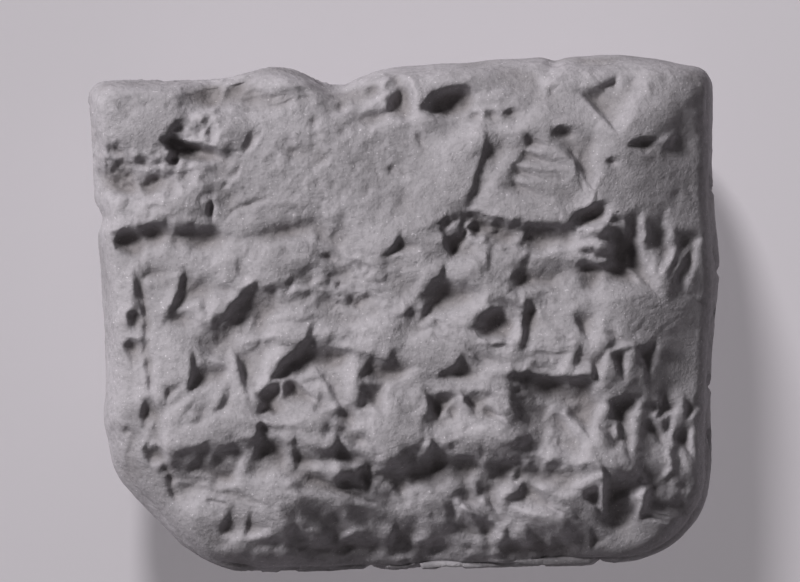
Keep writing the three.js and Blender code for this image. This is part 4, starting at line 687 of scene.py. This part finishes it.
def edge_relief(p, normal):
    """Depth below the plain body on the edges and the back."""
    d = np.zeros(len(p))
    wob = np.stack([0.14 * noise(p, 1.7, k) for k in (0, 2, 4)], 1)
    q = p + wob
    # the lower edge carries the last line of writing, a little plainer
    for k, (x, kind) in enumerate(LOWER_EDGE):
        c, n = edge_point(x=x, side='bottom', z=9.3 - 0.5 * (k % 3))
        n = n + (0, 0, 0.12)
        if kind == 'V': press_at(d, q, c, n, (0.12 * (k % 3 - 1), 0, -1), 4.4, 2.4, 0.95, 0.4)
        if kind == 'H': press_at(d, q, c + (-1.2, 0, 0.3), n, (1, 0, -0.08), 4.6, 1.9, 0.8, -0.4)
        if kind == 'K': press_at(d, q, c + (0, 0, -0.4), n, (0.5, 0, -1), 2.6, 2.5, 0.95, 0.3)
    for k, (y, kind) in enumerate(RIGHT_EDGE):
        c, n = edge_point(y=y, side='right', z=9.4 - 0.4 * (k % 2))
        if kind == 'V': press_at(d, q, c, n, (0, -1, -0.15), 4.2, 2.0, 0.8, 0.3)
        if kind == 'H': press_at(d, q, c + (0, 0, 1.4), n, (0, -0.1, -1), 4.6, 1.8, 0.75, 0.4)
        if kind == 'K': press_at(d, q, c, n, (0, -1, -0.8), 2.3, 2.2, 0.8, 0.3)
    # the back: five sparse, worn lines
    back = p[:, 2] < 6
    for row, y in enumerate(BACK_LINES):
        for n_, x in enumerate(np.arange(-17.5, 17.6, 3.9)):
            x = x + 1.3 * math.sin(5.1 * n_ + 2.3 * row)
            kind = 'VHKDVHVK'[(n_ * 3 + row * 5) % 8]
            if (n_ * 7 + row * 4) % 9 in (0, 5): continue
            zc = float(surface_height(np.array([x]), np.array([y]), False)[0])
            c = np.array([x, y, max(0.0, zc)])
            turn = {'V': (0.08, -1), 'H': (-1, 0.05), 'D': (-0.8, -0.55), 'K': (-0.55, -0.8)}[kind]
            long, wide, deep = {'V': (3.9, 1.9, .6), 'H': (4.2, 1.7, .5), 'D': (3.8, 1.7, .5), 'K': (2.0, 2.0, .6)}[kind]
            press_at(d, q, c, (0, 0, -1), (turn[0], turn[1] + 0.1 * math.sin(n_), 0), long, wide, deep, 0.3, 0.09)
    d = np.clip(d, -0.2, None)
    for c, r, deep, rag in CHIPS:
        i = np.flatnonzero((np.abs(q - c) < max(r) * 1.4).all(1))
        t = (q[i] - c) / np.array(r)
        t = np.sqrt((t ** 2).sum(1)) * (1 + rag * noise(p[i], 1.1, 4))
        d[i] = np.maximum(d[i], deep * (1 - smooth(0.25, 1.05, t)))
    rough = 0.0
    # broken clay along the top left, sounder elsewhere
    w = smooth(6.0, -12.0, p[:, 0]) * smooth(9, 15, p[:, 1]) + 0.5 * smooth(-12, -22, p[:, 0]) * smooth(-8, 4, p[:, 1])
    w = np.clip(w, 0, 1)
    rough = w * 0.16 * (np.abs(fbm(p, 1.3, 3, 0.6, 1)) * 1.7 - 0.5)
    slow = 0.16 * noise(p, 6.5, 3) + 0.09 * noise(p, 3.1, 5)
    grain = 0.075 * fbm(p, 2.4, 3, 0.5, 2) + 0.026 * fbm(p, 0.62, 3, 0.65, 5)
    return d + rough + slow + grain
# ------------------------------------------------------------------ the clay surface
RASTER = 0.06            # mm between samples of the face's relief
RX, RY = 24.9, 20.7      # half size of the raster

def face_raster():
    """The depth of the relief over the whole plan, and how shut in each place is."""
    gx = np.arange(-RX, RX + 1e-6, RASTER)
    gy = np.arange(-RY, RY + 1e-6, RASTER)
    X, Y = np.meshgrid(gx, gy)
    x, y = X.ravel(), Y.ravel()
    z = surface_height(x, y)
    layers = [a.reshape(X.shape) for a in face_layers(np.stack([x, y, z], 1))]
    return compose(*layers, slopes_relief(X, Y, RASTER), RASTER)

def sample(raster, x, y):
    """Bilinear reading of a raster at plan points."""
    fx = np.clip((x + RX) / RASTER, 0, raster.shape[1] - 1.001)
    fy = np.clip((y + RY) / RASTER, 0, raster.shape[0] - 1.001)
    i, j = fx.astype(int), fy.astype(int)
    fx, fy = fx - i, fy - j
    return (raster[j, i] * (1 - fx) * (1 - fy) + raster[j, i + 1] * fx * (1 - fy) + raster[j + 1, i] * (1 - fx) * fy + raster[j + 1, i + 1] * fx * fy)

def half_shell(n_flat, n_roll, face):
    """Grid points of one side of the body: plan, height, and how far down the rim each lies."""
    n = n_flat + n_roll
    k = np.arange(-n, n + 1) / n
    U, V = np.meshgrid(k, k)
    u, v = U.ravel(), V.ravel()
    ring = np.maximum(np.abs(u), np.abs(v))
    angle = np.where(ring < 1e-9, 0.0, np.arctan2(v * 19.35, u * 23.6))
    reach, cs = rim_at(angle), squareness(angle)
    roll = roll_width(FACE_ROLL if face else BACK_ROLL, angle)
    flat = np.maximum(0.2, 1 - roll / (cs * reach))
    r1 = n_flat / n
    phi = math.pi / 2 * np.clip((ring - r1) / (1 - r1), 0, 1)
    share = np.where(ring <= r1, flat * ring / r1, 1 - (1 - flat) * (1 - np.sin(phi)))
    x, y = reach * share * np.cos(angle), reach * share * np.sin(angle)
    z = surface_height(x, y, face)
    z = np.where(ring > 1 - 1e-9, EQUATOR_Z, z)
    return np.stack([x, y, z], 1), ring

def vertex_normals(co, quads):
    a, b, c, d = (co[quads[:, k]] for k in range(4))
    n = np.cross(c - a, d - b)
    out = np.zeros_like(co)
    for k in range(4):
        for j in range(3):
            out[:, j] += np.bincount(quads[:, k], weights=n[:, j], minlength=len(co))
    return out / (np.linalg.norm(out, axis=1)[:, None] + 1e-12)

def clay_surface(n_flat, n_roll):
    """Closed quad mesh of the whole tablet, in mm."""
    n = 2 * (n_flat + n_roll) + 1
    top, ring = half_shell(n_flat, n_roll, True)
    low, _ = half_shell(n_flat, n_roll, False)
    idx = np.arange(n * n).reshape(n, n)
    rim = ring > 1 - 1e-9
    low_index = np.full(n * n, -1)
    low_index[rim] = np.flatnonzero(rim)
    inner = np.flatnonzero(~rim)
    low_index[inner] = n * n + np.arange(len(inner))
    co = np.concatenate([top, low[inner]])
    q = np.stack([idx[:-1, :-1], idx[:-1, 1:], idx[1:, 1:], idx[1:, :-1]], -1).reshape(-1, 4)
    quads = np.concatenate([q, low_index[q][:, ::-1]])
    normal = vertex_normals(co, quads)
    face = np.zeros(len(co), bool)
    face[:n * n] = True
    return co, quads, normal, face

def relief_everywhere(co, normal, face):
    """Moves the points of the plain body to the weathered, written surface."""
    raster, shut = face_raster()
    # how much of a point belongs to the face rather than to the edge
    up = np.clip(normal[:, 2], 0, 1)
    on_face = np.where(face, smooth(0.10, 0.42, up), 0.0)
    d_face = sample(raster, co[:, 0], co[:, 1])
    off = np.flatnonzero(on_face < 1)
    d_off = np.zeros(len(co))
    d_off[off] = edge_relief(co[off], normal[off])
    d = on_face * d_face + (1 - on_face) * d_off
    way = on_face[:, None] * np.array([0, 0, 1.0]) + (1 - on_face)[:, None] * normal
    way /= np.linalg.norm(way, axis=1)[:, None]
    out = co - d[:, None] * way
    out[:, 2] = np.where(out[:, 2] < 0.0, 0.0, out[:, 2])
    return out, shut
# ------------------------------------------------------------------ into Blender
MM = 0.001
FACES_KEPT = 192000

co, quads, normal, face = clay_surface(170, 34)
co, shut = relief_everywhere(co, normal, face)

def make_mesh(name, co, quads):
    me = bpy.data.meshes.new(name)
    me.vertices.add(len(co))
    me.vertices.foreach_set("co", (co * MM).astype(np.float32).ravel())
    me.loops.add(len(quads) * 4)
    me.loops.foreach_set("vertex_index", quads.astype(np.int32).ravel())
    me.polygons.add(len(quads))
    me.polygons.foreach_set("loop_start", (np.arange(len(quads)) * 4).astype(np.int32))
    me.polygons.foreach_set("loop_total", np.full(len(quads), 4, np.int32))
    me.update(calc_edges=True)
    me.validate()
    ob = bpy.data.objects.new(name, me)
    bpy.context.scene.collection.objects.link(ob)
    return ob

tablet = make_mesh("tablet_clay", co, quads)
thin = tablet.modifiers.new("thin", 'DECIMATE')
thin.ratio = FACES_KEPT / (2 * len(quads))
thin.use_collapse_triangulate = True
dg = bpy.context.evaluated_depsgraph_get()
small = bpy.data.meshes.new_from_object(tablet.evaluated_get(dg))
tablet.modifiers.clear()
old = tablet.data
tablet.data = small
bpy.data.meshes.remove(old)
small.name = "tablet_clay"
small.shade_smooth()

# how shut in each point is, kept for painted shade: the clay is darkened in the hollows and lightened a little on the
# crests, standing in for shade
pts = np.zeros(len(small.vertices) * 3)
small.vertices.foreach_get("co", pts)
pts = pts.reshape(-1, 3) / MM
painted_shade = sample(shut, pts[:, 0], pts[:, 1]) * smooth(8.5, 10.5, pts[:, 2])
att = small.attributes.new("painted_shade", 'FLOAT', 'POINT')
att.data.foreach_set("value", painted_shade.astype(np.float32))
print("tablet faces", len(small.polygons))

# ------------------------------------------------------------------ materials
def node(nt, kind, **sets):
    n = nt.nodes.new(kind)
    for k, v in sets.items():
        if k.startswith("i_"):
            key = k[2:]
            n.inputs[int(key) if key.isdigit() else key.replace("_", " ")].default_value = v
        else:
            setattr(n, k, v)
    return n

def clay_material():
    m = bpy.data.materials.new("dry_clay")
    m.use_nodes = True
    nt = m.node_tree
    nt.nodes.clear()
    L = nt.links.new
    out = node(nt, "ShaderNodeOutputMaterial")
    bsdf = node(nt, "ShaderNodeBsdfPrincipled")
    bsdf.inputs["Roughness"].default_value = 0.92
    bsdf.inputs["Specular IOR Level"].default_value = 0.22
    L(bsdf.outputs[0], out.inputs["Surface"])
    tc = node(nt, "ShaderNodeTexCoord")
    co = tc.outputs["Object"]
    def tex(scale_mm, detail=4.0, rough=0.55, distortion=0.0):
        t = node(nt, "ShaderNodeTexNoise")
        t.inputs["Scale"].default_value = 1000.0 / scale_mm
        t.inputs["Detail"].default_value = detail
        t.inputs["Roughness"].default_value = rough
        t.inputs["Distortion"].default_value = distortion
        L(co, t.inputs["Vector"])
        return t.outputs["Fac"]
    def ramp(src, stops):
        r = node(nt, "ShaderNodeValToRGB")
        cr = r.color_ramp
        while len(cr.elements) < len(stops):
            cr.elements.new(0.5)
        for e, (pos, col) in zip(cr.elements, stops):
            e.position = pos
            e.color = (*col, 1) if len(col) == 3 else col
        L(src, r.inputs[0])
        return r.outputs[0]
    def mix(a, b, fac, mode='MIX'):
        n = node(nt, "ShaderNodeMix", data_type='RGBA', blend_type=mode)
        for socket, v in ((n.inputs[0], fac), (n.inputs[6], a), (n.inputs[7], b)):
            if hasattr(v, "is_linked") or hasattr(v, "links"):
                L(v, socket)
            else:
                socket.default_value = v if not isinstance(v, tuple) else (*v, 1)
        return n.outputs[2]
    body = ramp(tex(7.0, 5, .6), [(0.30, (0.375, 0.356, 0.374)), (0.52, (0.430, 0.409, 0.431)), (0.75, (0.480, 0.457, 0.482))])
    fine = ramp(tex(0.55, 6, .7), [(0.32, (0.80, 0.80, 0.80)), (0.5, (1.0, 1.0, 1.0)), (0.72, (1.10, 1.10, 1.10))])
    colour = mix(body, fine, 1.0, 'MULTIPLY')
    specks = ramp(tex(0.22, 2, .5), [(0.66, (0, 0, 0)), (0.74, (1, 1, 1))])
    colour = mix(colour, (0.66, 0.63, 0.66), specks)
    # painted shade: darker and warmer in the hollows, a little lighter on the crests, by how shut in each point is
    att = node(nt, "ShaderNodeAttribute", attribute_type='GEOMETRY', attribute_name="painted_shade")
    scale = node(nt, "ShaderNodeMapRange", i_1=-0.35, i_2=0.60, i_3=0.0, i_4=1.0)
    L(att.outputs["Fac"], scale.inputs[0])
    hollow_shade = ramp(scale.outputs[0], [(0.0, (1.10, 1.10, 1.10)), (0.37, (1.0, 1.0, 1.0)), (1.0, (0.62, 0.605, 0.585))])
    colour = mix(colour, hollow_shade, 1.0, 'MULTIPLY')
    L(colour, bsdf.inputs["Base Color"])
    def bump(height, strength, distance, before=None):
        b = node(nt, "ShaderNodeBump")
        b.inputs["Strength"].default_value = strength
        b.inputs["Distance"].default_value = distance
        L(height, b.inputs["Height"])
        if before is not None:
            L(before, b.inputs["Normal"])
        return b.outputs[0]
    b1 = bump(tex(0.95, 8, .70), 0.85, 0.00026)
    b2 = bump(tex(0.26, 5, .65), 0.7, 0.00006, b1)
    L(b2, bsdf.inputs["Normal"])
    return m

tablet.data.materials.clear()
tablet.data.materials.append(clay_material())
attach(tablet, "root")
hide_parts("tablet")

# ------------------------------------------------------------------ floor, light, camera
def plane(name, size, z):
    me = bpy.data.meshes.new(name)
    s = size / 2
    me.from_pydata([(-s, -s, z), (s, -s, z), (s, s, z), (-s, s, z)], [], [(0, 1, 2, 3)])
    ob = bpy.data.objects.new(name, me)
    bpy.context.scene.collection.objects.link(ob)
    return ob

floor = plane("floor", 3.0, -0.00002)
fm = bpy.data.materials.new("pale_floor")
fm.use_nodes = True
fb = fm.node_tree.nodes["Principled BSDF"]
fb.inputs["Base Color"].default_value = (0.62, 0.592, 0.622, 1)
fb.inputs["Roughness"].default_value = 0.9
fb.inputs["Specular IOR Level"].default_value = 0.1
floor.data.materials.append(fm)
floor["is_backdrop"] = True

scene = bpy.context.scene
scene.view_settings.view_transform = 'Standard'
scene.view_settings.look = 'None'
scene.view_settings.exposure = 0
scene.view_settings.gamma = 1

world = bpy.data.worlds.new("studio")
world.use_nodes = True
bg = world.node_tree.nodes["Background"]
bg.inputs[0].default_value = (0.80, 0.76, 0.77, 1)
bg.inputs[1].default_value = 0.085
scene.world = world

def lamp(name, azimuth, elevation, distance, size, power, colour=(1, 1, 1)):
    data = bpy.data.lights.new(name, 'AREA')
    data.shape = 'DISK'
    data.size = size
    data.energy = power
    data.color = colour
    ob = bpy.data.objects.new(name, data)
    scene.collection.objects.link(ob)
    a, e = math.radians(azimuth), math.radians(elevation)
    d = Vector((math.cos(a) * math.cos(e), math.sin(a) * math.cos(e), math.sin(e)))
    ob.location = d * distance + Vector((0, 0, 0.012))
    ob.rotation_mode = 'QUATERNION'
    ob.rotation_quaternion = d.to_track_quat('Z', 'Y')
    return ob

key = lamp("key", 146, 38, 0.9, 0.24, 8.6, (1.0, 0.985, 1.0))
floor_key = lamp("floor_light", 103, 25, 1.2, 0.22, 14.0, (1.0, 0.985, 1.0))
floor_fill = lamp("floor_fill", -20, 50, 1.0, 0.6, 4.4, (1.0, 0.985, 1.0))

# the key rakes across the tablet alone; the floor has lamps of its own, one of which throws the shadow
clay_only = bpy.data.collections.new("lit_by_key")
clay_only.objects.link(tablet)
key.light_linking.receiver_collection = clay_only
floor_only = bpy.data.collections.new("floor_alone")
floor_only.objects.link(floor)
floor_key.light_linking.receiver_collection = floor_only
floor_fill.light_linking.receiver_collection = floor_only
floor_fill.light_linking.blocker_collection = floor_only

cam_data = bpy.data.cameras.new("camera")
cam_data.lens = 360
cam_data.sensor_width = 36
cam = bpy.data.objects.new("camera", cam_data)
scene.collection.objects.link(cam)
lo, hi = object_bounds()
cam.location = (-0.00034, 0.0018, 0.0085 + 0.600)
cam.rotation_euler = (0, 0, 0)
cam_data.clip_start, cam_data.clip_end = 0.01, 20
scene.camera = cam
